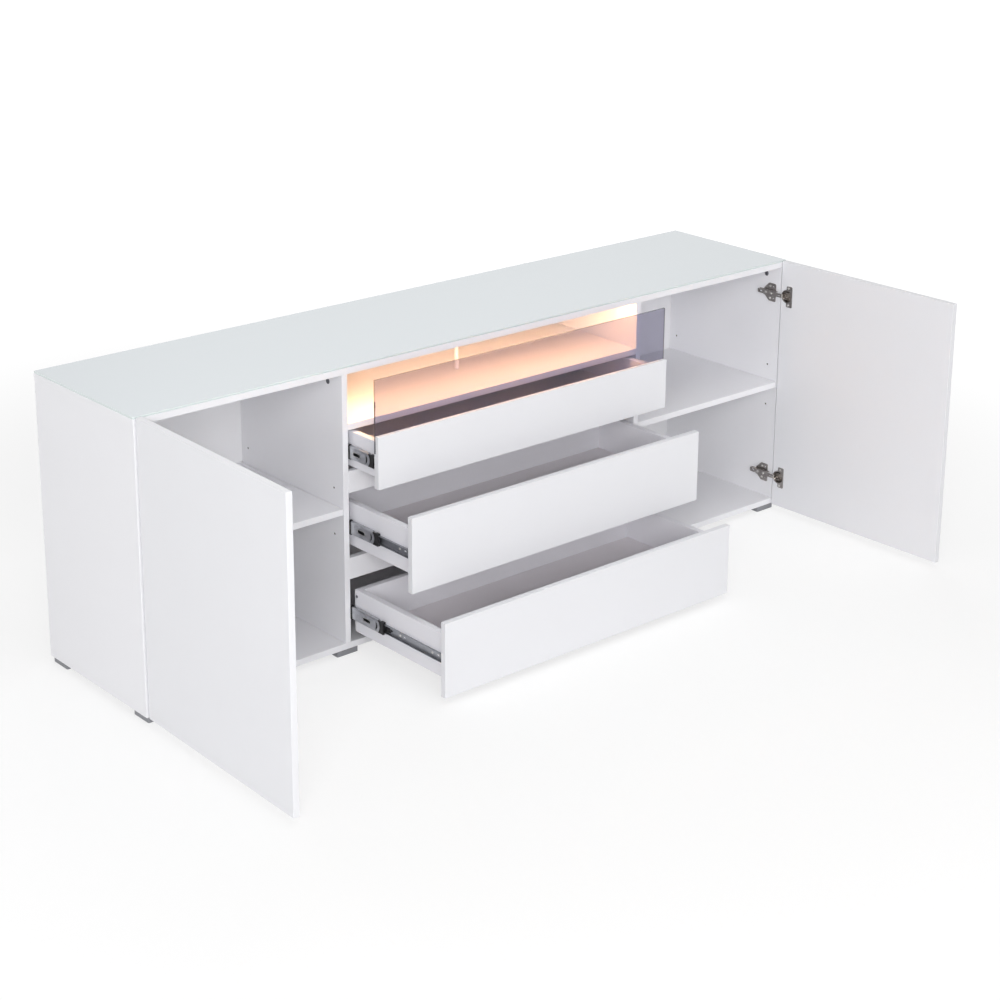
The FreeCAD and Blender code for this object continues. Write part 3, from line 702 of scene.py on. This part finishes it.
def plated(tree, shader, base, stretch, cell, spangle, smoothest, roughest, depth):
    """Rolled Steel on a shader; the streaks run along the axis with the fewest."""
    surface = node(tree, "Group", {
        "Vector": place_vector(tree, stretch), "Cells": place_vector(tree, (1 / cell,) * 3),
        "Color": rgba(getattr(colours(), base)), "Spangle": spangle, "Smoothest": smoothest,
        "Roughest": roughest,
    }, node_tree=steel_group())
    wire(tree, shader, surface.outputs, depth)


def see_through(tree, shader, output):
    """Smoked glass with a hint of waviness, which lets tinted light through to what is behind."""
    wave = noise(tree, place_vector(tree), 5.0, 1.0)
    tree.links.new(spread(tree, wave, 0.0, 0.012), shader.inputs["Roughness"])
    clear = node(tree, "BsdfTransparent", {"Color": rgba(colours().smoke)})
    shadow = node(tree, "LightPath").outputs["Is Shadow Ray"]
    mixed = node(tree, "MixShader", {"Fac": shadow, 1: shader.outputs["BSDF"], 2: clear.outputs["BSDF"]})
    tree.links.new(mixed.outputs["Shader"], output.inputs["Surface"])


# Pieces

def eased_board(node_name, material, slot):
    """Stands a board with eased edges in the place of its CAD node."""
    piece = merged_copy(node_name, f"{node_name}_board")
    ease(piece, sizes().board_edge, shortest=sizes().drilled)
    return fit(piece, material, frame["nodes"][node_name]["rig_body"], slot, node_name)


def bare_holes_with_shade(board, low, high):
    """Shows the raw board core inside the drilled holes, darkened as painted shade; their faces are small
    and lie deep in the board.
    """
    shallowest, smallest, largest = 1.5 * MM, 1.5 * MM ** 2, sizes().drilled ** 2
    board.data.materials.append(finish("Raw Chipboard"))
    for surface in board.data.polygons:
        depth = min(min(at - start, end - at) for at, start, end in zip(surface.center, low, high))
        if depth > shallowest and smallest < surface.area < largest:
            surface.material_index = 1


class SIDEBOARD_OT_carcass(bpy.types.Operator):
    """Eases the boards of the carcass and finishes the backs"""

    bl_idname = "sideboard.carcass"
    bl_label = "Carcass Boards"

    def execute(self, context):
        for name in ("top_panel", "side_left", "side_right", "divider_left", "divider_right", "bottom_panel",
                     "niche_floor", "rail_lower", "rail_upper", "shelf_left", "shelf_right"):
            board = eased_board(name, finish("Carcass White"), "white_board")
            bare_holes_with_shade(board, *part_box(name))
        paint(finish("White Hardboard"), "back_left", "back_center", "back_right")
        return {"FINISHED"}


class SIDEBOARD_OT_doors(bpy.types.Operator):
    """Eases the two doors"""

    bl_idname = "sideboard.doors"
    bl_label = "Doors"

    def execute(self, context):
        for side in SIDES:
            eased_board(f"door_{side}", finish("White Lacquer"), "white_board")
        return {"FINISHED"}


class SIDEBOARD_OT_drawers(bpy.types.Operator):
    """Eases the drawer fronts and boxes and finishes their bottoms"""

    bl_idname = "sideboard.drawers"
    bl_label = "Drawers"

    def execute(self, context):
        for number in DRAWERS:
            eased_board(f"drawer_{number}_front", finish("White Lacquer"), "white_board")
            eased_board(f"drawer_{number}_sides", finish("Drawer Melamine"), "box_board")
            eased_board(f"drawer_{number}_back", finish("Drawer Melamine"), "box_board")
            paint(finish("Drawer Floor"), f"drawer_{number}_bottom")
        return {"FINISHED"}


def cut_glass(name, node_name, thin, faces, edges, body, slot):
    """Sheet with rounded corners, ground arrises and polished edges; thin is the axis across it."""
    piece = block(name, *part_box(node_name))
    round_edges(piece, lambda middle, way: abs(way[thin]) > ALONG, sizes().glass_corner)
    ease(piece, sizes().glass_arris, 2)
    fit(piece, finish(faces), body, slot, node_name)
    piece.data.materials.append(finish(edges))
    for face in piece.data.polygons:
        face.material_index = 0 if abs(face.normal[thin]) > FLAT else 1


class SIDEBOARD_OT_glass_top(bpy.types.Operator):
    """Cuts the glass top with rounded corners, ground arrises and polished edges"""

    bl_idname = "sideboard.glass_top"
    bl_label = "Glass Top"

    def execute(self, context):
        finishes = ("Painted Glass", "Glass Edge")
        cut_glass("glass_top", "top_glass", 2, *finishes, "carcass", "painted_glass")
        return {"FINISHED"}


class SIDEBOARD_OT_smoked_pane(bpy.types.Operator):
    """Cuts the smoked pane of the upper drawer with ground arrises and dark edges"""

    bl_idname = "sideboard.smoked_pane"
    bl_label = "Smoked Pane"

    def execute(self, context):
        finishes = ("Smoked Glass", "Smoked Edge")
        cut_glass("smoked_sheet", "smoked_pane", 1, *finishes, "drawer_1", "smoked_glass")
        return {"FINISHED"}


def opal_lens():
    """Opal lens, deeper at its back edge, so that it lights the back of the niche."""
    low, high = (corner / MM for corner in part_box("led_diffuser"))
    deep = low.z - sizes().lens_drop / MM
    piece = plate("opal_lens", rounded([
        (low.y, high.z, 0.0), (high.y, high.z, 0.0), (high.y, deep, 2.0), (low.y, low.z, 0.0),
    ]), low.x, high.x)
    soften(piece)
    return piece


class SIDEBOARD_OT_niche_light(bpy.types.Operator):
    """Finishes the light strip and the post of the niche"""

    bl_idname = "sideboard.niche_light"
    bl_label = "Niche Light"

    def execute(self, context):
        for name, material, slot in (
            ("led_profile", "Anodised Aluminium", "aluminium"), ("niche_post", "White Metal", "white_metal"),
        ):
            piece = merged_copy(name, f"{name}_finished")
            ease(piece, sizes().metal_edge)
            fit(piece, finish(material), "carcass", slot, name)
        fit(opal_lens(), finish("Lit Diffuser"), "carcass", "opal", "led_diffuser")
        return {"FINISHED"}


def pivots():
    """Middles of the hinge pins of the right door, upper one first."""
    low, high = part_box("hinge_pins_right")
    half = sizes().pin_half
    across, depth = (low.x + high.x) / 2, (low.y + high.y) / 2
    return [Vector((across, depth, level)) for level in (high.z - half, low.z + half)]


# Measures of a hinge are in millimetres from the middle of its pin, on the right-hand door

# Radius and height of the screw heads
HINGE_SCREW = (3.6, 1.5)
CUP_SCREW = (3.6, 1.2)

# Seats of the screws in a plate and its arm, each with the turn of its cross, and in the ears of a cup
PLATE_SEATS = (
    (-9.2, 51.1, 17.0, 0.4), (-9.2, 51.1, -17.0, 1.1), (-19.2, 59.1, 0.0, 0.75), (-19.2, 38.0, 0.0, 0.2),
)
EAR_SEATS = ((-11.6, -17.4, 24.0), (-11.6, -17.4, -24.0))


def hinge_arm():
    """Channel over the plate, with a forked neck that bends round to the pin."""
    channel = plate("hinge_arm", rounded([
        (19.6, 5.6, 1.0), (26.0, 8.0, 3.0), (64.0, 8.0, 2.0), (68.5, 6.2, 2.0), (89.1, 6.2, 3.0),
        (89.1, -6.2, 3.0), (68.5, -6.2, 2.0), (64.0, -8.0, 2.0), (26.0, -8.0, 3.0), (19.6, -5.6, 1.0),
    ]), -9.9, -19.2)
    sink(channel, lambda middle, normal: normal.x > ALONG, 1.1, (-8.0, 0.0, 0.0))
    notch = rounded([(67.0, -7.4, 0.8), (72.5, -7.4, 0.8), (69.0, -1.0, 0.8)])
    cut(
        channel, bar("mouth", (-17.9, 15.0, -6.6), (-9.0, 25.5, 6.6)),
        plate("tail_slot", slot_outline(78.0, 13.0, 5.4), -15.0, -22.0),
        plate("arm_notch", notch, -15.0, -22.0),
    )
    strip = rounded([
        (-19.0, 23.0, 0.0), (-19.0, -1.2, 4.2), (1.7, -1.2, 1.15), (1.7, 1.2, 1.15), (-16.9, 1.2, 1.7),
        (-16.9, 23.0, 0.0),
    ], 6)
    neck = slab("hinge_neck", [(*point, -5.2) for point in strip], (0.0, 0.0, 10.4))
    cut(
        neck, bar("fork", (-15.5, -3.0, -1.3), (-4.0, 3.0, 1.3)),
        bar("fork_web", (-21.0, 4.0, -1.3), (-15.0, 17.0, 1.3)),
        rod("eye_bore", (0.0, 0.0, -7.0), (0.0, 0.0, 7.0), 1.25, 16),
    )
    return chamfer(weld(channel, neck), 0.3)


def hinge_base():
    """Winged plate on the carcass side, with a spine under the arm."""
    wings = plate("hinge_plate", rounded([
        (31.0, -26.0, 4.0), (56.0, -26.0, 5.0), (74.0, -9.0, 4.0), (74.0, 9.0, 4.0), (56.0, 26.0, 5.0),
        (31.0, 26.0, 4.0),
    ]), -7.4, -9.2)
    weld(wings, bar("spine", (-16.7, 30.0, -5.6), (-8.0, 72.0, 5.6)))
    for level in (-17.0, 17.0):
        cut(wings, rod("plate_hole", (-12.0, 39.5, level), (-5.0, 39.5, level), 2.2, 20))
    return chamfer(wings, 0.4)


def hinge_cup():
    """Cup that is sunk in the door, with ears for two screws and cheeks that hold the pin."""
    near = arc((-11.9, 0.0), 19.0, 85.5, -85.5, 24)
    ears = rounded([(-10.4, -30.0, 3.0), (-30.8, -30.0, 4.0), (-30.8, 30.0, 4.0), (-10.4, 30.0, 3.0)])
    cup = plate("hinge_cup", ears + near, -10.6, -11.6)
    weld(cup, rod("cup_body", (-11.2, -11.9, 0.0), (2.7, -11.9, 0.0), 17.5, 64))
    cut(cup, rod("cup_hollow", (-13.0, -11.9, 0.0), (2.1, -11.9, 0.0), 16.6, 64))
    chamfer(cup, 0.3)
    for level in (9.2, -9.2):
        low, high = level - 1.0, level + 1.0
        cheek = [(3.4, low), (3.4, high), (-12.0, high), (-12.0, low)]
        weld(cup, plate("pin_cheek", cheek, 2.3, -8.6))
    return cup


class SIDEBOARD_OT_hinges(bpy.types.Operator):
    """Presses the hinge arms, plates and cups, with their screws"""

    bl_idname = "sideboard.hinges"
    bl_label = "Hinges"

    def execute(self, context):
        nickel, bright = finish("Nickel Plate"), finish("Bright Zinc")
        arm, base, cup = hinge_arm(), hinge_base(), hinge_cup()
        screw, cup_screw = pan_screw("hinge_screw", *HINGE_SCREW), pan_screw("cup_screw", *CUP_SCREW)
        fixed = [(place, mirrored) for mirrored in BOTH_HANDS for place in pivots()]
        stations = [spot(*where) for where in fixed]
        fit(copies(arm, "hinge_arms_pressed", stations), nickel, "carcass", "nickel", "hinge_arms")
        fit(copies(base, "hinge_plates_pressed", stations), nickel, "carcass", "nickel", "hinge_plates")
        heads = copies(screw, "hinge_screws_headed", [
            spot(place + Vector(seat) * MM, mirrored, 0.0, turn)
            for place, mirrored in fixed for *seat, turn in PLATE_SEATS
        ])
        fit(heads, bright, "carcass", "nickel", "hinge_screws")
        swing = sizes().door_swing
        turned = Matrix.Rotation(swing, 3, "Z")
        for side in SIDES:
            body, mirrored = f"door_{side}", side == "left"
            hung = [spot(place, mirrored, swing) for place in pivots()]
            cups = copies(cup, f"hinge_cups_{side}_pressed", hung)
            fit(cups, nickel, body, "nickel", f"hinge_cups_{side}")
            heads = copies(cup_screw, f"cup_screws_{side}_headed", [
                spot(place + turned @ Vector(seat) * MM, mirrored, swing, seat[2])
                for place in pivots() for seat in EAR_SEATS
            ])
            fit(heads, bright, body, "nickel", f"cup_screws_{side}")
            paint(nickel, f"hinge_pins_{side}")
        discard(arm, base, cup, screw, cup_screw)
        return {"FINISHED"}


# Measures of a slide are in millimetres, across from the face of the right-hand divider towards the drawer

# Sections of the rails across and upwards, with the radius of each corner, and their metal
OUTER_PATH = [(-8.0, -18.5, 0.0), (0.0, -18.5, 4.5), (0.0, 18.5, 4.5), (-8.0, 18.5, 0.0)]
MID_PATH = [
    (-10.5, -11.0, 0.0), (-10.5, -17.0, 2.0), (-1.6, -17.0, 4.0), (-1.6, 17.0, 4.0), (-10.5, 17.0, 2.0),
    (-10.5, 11.0, 0.0),
]
INNER_PATH = [(-4.9, 10.7, 0.0), (-12.7, 10.7, 3.0), (-12.7, -10.7, 3.0), (-4.9, -10.7, 0.0)]
STRIP_METAL = 1.2

# Radius and height of the screw heads, and where those of the inner rails sit across and behind the front
RAIL_SCREW = (3.4, 1.3)
BOX_SCREW = (3.6, 1.2)
RAIL_SCREW_ACROSS = -11.5
RAIL_SCREW_DEPTHS = (44.0, 164.0)


def set_drawer_screws(drawer, number, face, rail_screw, box_screw):
    """Screws of the inner rails and of the box, each stopped at a turn of its own."""
    heads = copies(rail_screw, f"rail_screws_{number}", [
        spot(face + Vector((RAIL_SCREW_ACROSS, depth, 0.0)) * MM, mirrored, math.pi, depth)
        for depth in RAIL_SCREW_DEPTHS for mirrored in BOTH_HANDS
    ])
    fit(heads, finish("Bright Zinc"), drawer, "galvanised")
    low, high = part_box(f"{drawer}_screws")
    across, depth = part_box(f"{drawer}_sides")[1].x, (low.y + high.y) / 2
    radius = BOX_SCREW[0] * MM
    heads = copies(box_screw, f"{drawer}_screws_headed", [
        spot((across, depth, level), mirrored, math.pi, level * 100.0)
        for level in (low.z + radius, high.z - radius) for mirrored in BOTH_HANDS
    ])
    fit(heads, finish("Cast Zinc"), drawer, "zinc", f"{drawer}_screws")


def rolled_rail(name, path, front, rear):
    """Rolled rail of a section, from its front to its rear end."""
    profile = rolled(rounded(path, 5), STRIP_METAL)
    return slab(name, [(across, front, up) for across, up in profile], (0.0, rear - front, 0.0))


def middle_rail():
    """Middle rail with a pressed slot, a crescent opening and a rounded end; the raised face of the slot rim
    on its back gets a painted highlight in bright zinc.
    """
    rail = rolled_rail("mid_rail", MID_PATH, 0.0, 340.0)
    weld(rail, plate("slot_rim", slot_outline(50.0, 30.4, 11.4), -1.35, -2.0))
    end = arc((19.0, 0.0), 19.0, 251.0, 109.0, 16)
    crescent = arc((19.85, 0.0), 11.85, 256.0, 104.0, 14) + arc((37.5, 0.0), 23.5, 151.0, 209.0, 10)
    cut(
        rail, plate("slot_tool", slot_outline(50.0, 27.0, 8.0), 1.0, -4.0),
        plate("end_tool", end + [Vector((-2.0, 18.0)), Vector((-2.0, -18.0))], 1.0, -14.0),
        plate("crescent_tool", crescent, 1.0, -4.0),
    )
    rail.data.materials.append(finish("Galvanised Strip"))
    rail.data.materials.append(finish("Bright Zinc"))
    # Painted highlight: the raised face of the slot rim on the back takes the brighter zinc of the screws
    for surface in rail.data.polygons:
        painted_highlight = surface.normal.x > ALONG and surface.center.x > -1.5 * MM
        surface.material_index = 1 if painted_highlight else 0
    return rail


def slide_stop():
    """Black end stop that follows the rounded end of the middle rail."""
    back = arc((18.5, 0.0), 19.0, 233.5, 126.5, 14)
    front = rounded([
        (-13.5, 15.3, 3.0), (-13.5, -15.3, 3.0), (*back[0], 0.0), (*back[-1], 0.0),
    ])
    stop = plate("slide_stop", back + front[:-2], -1.9, -4.6)
    weld(stop, bar("stop_core", (-9.0, -14.0, -7.8), (-3.0, 15.0, 7.8)))
    for low, high in ((-15.6, -11.4), (11.4, 15.6)):
        weld(stop, bar("stop_return", (-10.2, -13.2, low), (-2.2, -2.0, high)))
    return chamfer(stop, 0.5)


def inner_rail():
    """Rail on the drawer, with two slots for its screws."""
    rail = rolled_rail("inner_rail", INNER_PATH, 2.0, 340.0)
    for middle in (23.4, 149.4):
        cut(rail, plate("rail_slot", slot_outline(middle, 9.0, 4.2), -10.0, -14.0))
    return rail


def slide_lever():
    """Release lever with three fingers, flat against the inner rail."""
    lever = plate("slide_lever", rounded([
        (218.0, 7.0, 1.0), (204.0, 7.0, 1.0), (202.5, 3.4, 1.0), (208.0, 1.6, 0.6), (194.0, 1.4, 1.0),
        (194.0, -1.6, 1.0), (208.0, -2.0, 0.6), (201.0, -4.0, 1.0), (201.0, -7.2, 1.0),
        (218.0, -7.2, 1.0),
    ], 3), -9.3, -11.5)
    return chamfer(lever, 0.4)


class SIDEBOARD_OT_slides(bpy.types.Operator):
    """Rolls the drawer slides and moulds their stops and levers"""

    bl_idname = "sideboard.slides"
    bl_label = "Drawer Slides"

    def execute(self, context):
        galvanised, strip_in_shade, black = finish("Galvanised Strip"), finish("Dull Strip"), finish("Black Plastic")
        masters = {
            "outer_rails": rolled_rail("outer_rail", OUTER_PATH, 0.0, 350.0),
            # Black strip of the outer rail's section, reaching 5 mm in front of each outer rail
            "rail_bumpers": rolled_rail("rail_bumper", OUTER_PATH, -5.0, -0.05),
            "mid_rails": middle_rail(),
            "slide_stops": slide_stop(),
            "inner_rails": inner_rail(),
            "slide_levers": slide_lever(),
        }
        screws = pan_screw("rail_screw", *RAIL_SCREW), pan_screw("box_screw", *BOX_SCREW)
        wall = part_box("divider_right")[0].x
        for number in DRAWERS:
            low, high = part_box(f"outer_rails_{number}")
            level = (low.z + high.z) / 2
            outer_end = Vector((wall, low.y, level))
            mid_end = Vector((wall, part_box(f"mid_rails_{number}")[0].y, level))
            face = Vector((wall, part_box(f"drawer_{number}_front")[1].y, level))
            slide, drawer = f"slide_{number}", f"drawer_{number}"
            for name, place, material, body, slot in (
                ("outer_rails", outer_end, galvanised, "carcass", "galvanised"),
                ("rail_bumpers", outer_end, black, "carcass", "black_plastic"),
                ("mid_rails", mid_end, None, slide, "galvanised"),
                ("slide_stops", mid_end, black, slide, "black_plastic"),
                # The inner rails take the galvanised steel darkened as painted shade
                ("inner_rails", face, strip_in_shade, drawer, "galvanised"),
                ("slide_levers", face, black, drawer, "black_plastic"),
            ):
                node_name = f"{name}_{number}"
                hands = [spot(place, mirrored) for mirrored in BOTH_HANDS]
                stands_for = [node_name] if node_name in frame["nodes"] else []
                pair = copies(masters[name], f"{node_name}_formed", hands)
                fit(pair, material, body, slot, *stands_for)
            set_drawer_screws(drawer, number, face, *screws)
        discard(*masters.values(), *screws)
        return {"FINISHED"}


# Half the size of a cam lock on its board, in millimetres
CAM_HALF = 7.0


def set_cams():
    """Cams in the sides and dividers, each stopped at a turn of its own."""
    low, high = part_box("cam_fittings")
    half = CAM_HALF * MM
    boards = ((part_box("side_right")[0].x, 0.0, 9.0), (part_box("divider_right")[1].x, math.pi, 7.0))
    cam = cam_lock()
    cams = copies(cam, "cam_fittings_cast", [
        spot((face, depth, low.z + half), mirrored, turn, depth * twist)
        for face, turn, twist in boards for depth in (low.y + half, high.y - half)
        for mirrored in BOTH_HANDS
    ])
    fit(cams, finish("Cast Zinc"), "carcass", "zinc", "cam_fittings")
    discard(cam)


def cam_lock():
    """Cam lock with a rim and a cross recess."""
    cam = rod("cam", (12.0, 0.0, 0.0), (0.3, 0.0, 0.0), 6.9, 48)
    sink(cam, lambda middle, normal: normal.x < -ALONG, 0.9, (0.5, 0.0, 0.0))
    return chamfer(cut(cam, cross_tool(-1.0, 3.0, 3.4, 0.8)), 0.2)


def set_feet():
    """Moulded feet under the sides and dividers."""
    low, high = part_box("feet")
    half = sizes().foot_half
    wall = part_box("divider_right")
    columns = (high.x - half, (wall[0].x + wall[1].x) / 2)
    rows = (low.y + half, high.y - half)
    foot = moulded_foot(half, high.z)
    feet = copies(foot, "feet_moulded", [
        spot((column, row, 0.0), mirrored)
        for column in columns for row in rows for mirrored in BOTH_HANDS
    ])
    fit(feet, finish("Foot Plastic"), "carcass", "grey_foot", "feet")
    discard(foot)


def moulded_foot(half, height):
    """Foot with a hollow sole and a screw hole."""
    foot = block("foot", (-half, -half, 0.0), (half, half, height))
    round_edges(foot, lambda middle, way: abs(way.z) > ALONG, 1.5 * sizes().foot_edge)
    sink(foot, lambda middle, normal: normal.z < -ALONG, 2.2, (0.0, 0.0, 3.0))
    cut(foot, rod("screw_hole", (0.0, 0.0, -1.0), (0.0, 0.0, 9.0), 5.0, 24))
    return chamfer(foot, 0.8)


class SIDEBOARD_OT_fittings(bpy.types.Operator):
    """Casts the cam locks and shelf pins and moulds the feet"""

    bl_idname = "sideboard.fittings"
    bl_label = "Fittings"

    def execute(self, context):
        pins = merged_copy("shelf_pins", "shelf_pins_cast")
        ease(pins, sizes().metal_edge)
        fit(pins, finish("Cast Zinc"), "carcass", "zinc", "shelf_pins")
        set_cams()
        set_feet()
        return {"FINISHED"}


# Soft lamps: name, place and size in metres
LAMPS = (
    ("key", (-5.2, -6.3, 3.25), (4.2, 3.0)),
    ("front", (-1.2, -7.0, 1.5), (4.0, 1.8)),
    ("side", (-6.6, -0.8, 1.8), (4.0, 3.0)),
    ("top", (0.0, -1.6, 5.8), (5.0, 4.0)),
    ("rear", (3.0, 4.2, 4.6), (3.2, 2.4)),
)

# Metres from the middle of the object between which the floor opens out to plain white, and its level
FLOOR_FADE = (1.2, 3.6)
FLOOR_WHITE = 1.12

# Millimetres across the picture in the camera
SENSOR_WIDTH = 36.0


def lay_floor(stage):
    """Pale floor that looks white in the open and keeps the object's shadow."""
    only()
    bpy.ops.mesh.primitive_plane_add(size=stage.floor_size)
    floor = bpy.context.object
    floor.name = "floor"
    material = bpy.data.materials.new("Floor")
    material.use_nodes = True
    tree = material.node_tree
    tree.nodes.clear()
    pale = node(tree, "BsdfDiffuse", {"Color": rgba(stage.floor_colour)})
    white = node(tree, "Emission", {"Strength": FLOOR_WHITE})
    away = node(tree, "VectorMath", {0: node(tree, "TexCoord").outputs["Object"]}, operation="LENGTH")
    open_floor = node(tree, "MapRange", {
        "Value": away.outputs["Value"], "From Min": FLOOR_FADE[0], "From Max": FLOOR_FADE[1],
        "To Min": stage.floor_lift,
    }, interpolation_type="SMOOTHSTEP")
    lift = reckon(tree, "MULTIPLY", seen_directly(tree), open_floor.outputs["Result"])
    mixed = node(tree, "MixShader", {"Fac": lift, 1: pale.outputs["BSDF"], 2: white.outputs["Emission"]})
    node(tree, "OutputMaterial", {"Surface": mixed.outputs["Shader"]})
    floor.data.materials.append(material)


def hang_lamp(name, place, size, power):
    """Soft lamp that points at the middle of the object."""
    bpy.ops.object.light_add(type="AREA", location=place)
    lamp = bpy.context.object
    lamp.name = name
    lamp.data.shape = "RECTANGLE"
    lamp.data.size, lamp.data.size_y = size
    lamp.visible_camera = False
    lamp.data.energy = power
    target = (cad_box[0] + cad_box[1]) / 2
    lamp.rotation_euler = (target - Vector(place)).to_track_quat("-Z", "Y").to_euler()


def surround(scene, stage):
    """Even light from all round, which looks white where it is seen."""
    world = bpy.data.worlds.new("Surroundings")
    world.use_nodes = True
    tree = world.node_tree
    tree.nodes.clear()
    light = node(tree, "Background", {"Strength": stage.ambient, "Color": WHITE}).outputs["Background"]
    white = node(tree, "Background", {"Strength": 1.0, "Color": WHITE}).outputs["Background"]
    mixed = node(tree, "MixShader", {"Fac": seen_directly(tree), 1: light, 2: white})
    node(tree, "OutputWorld", {"Surface": mixed.outputs["Shader"]})
    scene.world = world


def place_camera(scene, stage):
    """Camera at the photograph's viewing angle."""
    azimuth, elevation = stage.camera_azimuth, stage.camera_elevation
    back = Vector((
        math.sin(azimuth) * math.cos(elevation), -math.cos(azimuth) * math.cos(elevation),
        math.sin(elevation),
    ))
    roll = Quaternion((0, 0, 1), stage.camera_roll)
    bpy.ops.object.camera_add(location=stage.camera_place)
    camera = bpy.context.object
    camera.rotation_mode = "QUATERNION"
    camera.rotation_quaternion = (-back).to_track_quat("-Z", "Y") @ roll
    camera.data.lens = stage.lens
    camera.data.sensor_width = SENSOR_WIDTH
    camera.data.shift_y = stage.shift
    scene.camera = camera


class SIDEBOARD_OT_stage(bpy.types.Operator):
    """Sets the floor, the lamps, the surroundings and the camera"""

    bl_idname = "sideboard.stage"
    bl_label = "Stage"

    def execute(self, context):
        stage = context.scene.sideboard_stage
        lay_floor(stage)
        for name, place, size in LAMPS:
            hang_lamp(f"{name}_lamp", place, size, getattr(stage, f"{name}_power"))
        surround(context.scene, stage)
        place_camera(context.scene, stage)
        context.scene.view_settings.view_transform = "Standard"
        return {"FINISHED"}


def seen_directly(tree):
    """1 for rays from the camera and for those seen in gloss or through glass."""
    path = node(tree, "LightPath").outputs
    gloss = reckon(tree, "MAXIMUM", path["Is Camera Ray"], path["Is Glossy Ray"])
    return reckon(tree, "MAXIMUM", gloss, path["Is Transmission Ray"])


STEPS = (
    SIDEBOARD_OT_carcass, SIDEBOARD_OT_doors, SIDEBOARD_OT_drawers, SIDEBOARD_OT_glass_top,
    SIDEBOARD_OT_smoked_pane, SIDEBOARD_OT_niche_light, SIDEBOARD_OT_hinges, SIDEBOARD_OT_slides,
    SIDEBOARD_OT_fittings, SIDEBOARD_OT_stage,
)


class SIDEBOARD_PT_panel(bpy.types.Panel):
    """Lists the steps that finish the sideboard"""

    bl_idname = "SIDEBOARD_PT_panel"
    bl_label = "Sideboard"
    bl_space_type = "VIEW_3D"
    bl_region_type = "UI"
    bl_category = "Sideboard"

    def draw(self, context):
        for step in STEPS:
            self.layout.operator(step.bl_idname)


GROUPS = (SideboardSizes, SideboardColours, SideboardStage)


def register():
    for kind in (*GROUPS, *STEPS, SIDEBOARD_PT_panel):
        bpy.utils.register_class(kind)
    bpy.types.Scene.sideboard_sizes = PointerProperty(type=SideboardSizes)
    bpy.types.Scene.sideboard_colours = PointerProperty(type=SideboardColours)
    bpy.types.Scene.sideboard_stage = PointerProperty(type=SideboardStage)


def unregister():
    del bpy.types.Scene.sideboard_stage
    del bpy.types.Scene.sideboard_colours
    del bpy.types.Scene.sideboard_sizes
    for kind in reversed((*GROUPS, *STEPS, SIDEBOARD_PT_panel)):
        bpy.utils.unregister_class(kind)


def main():
    register()
    for step in STEPS:
        getattr(bpy.ops.sideboard, step.bl_idname.split(".")[1])()


if __name__ == "__main__":
    main()
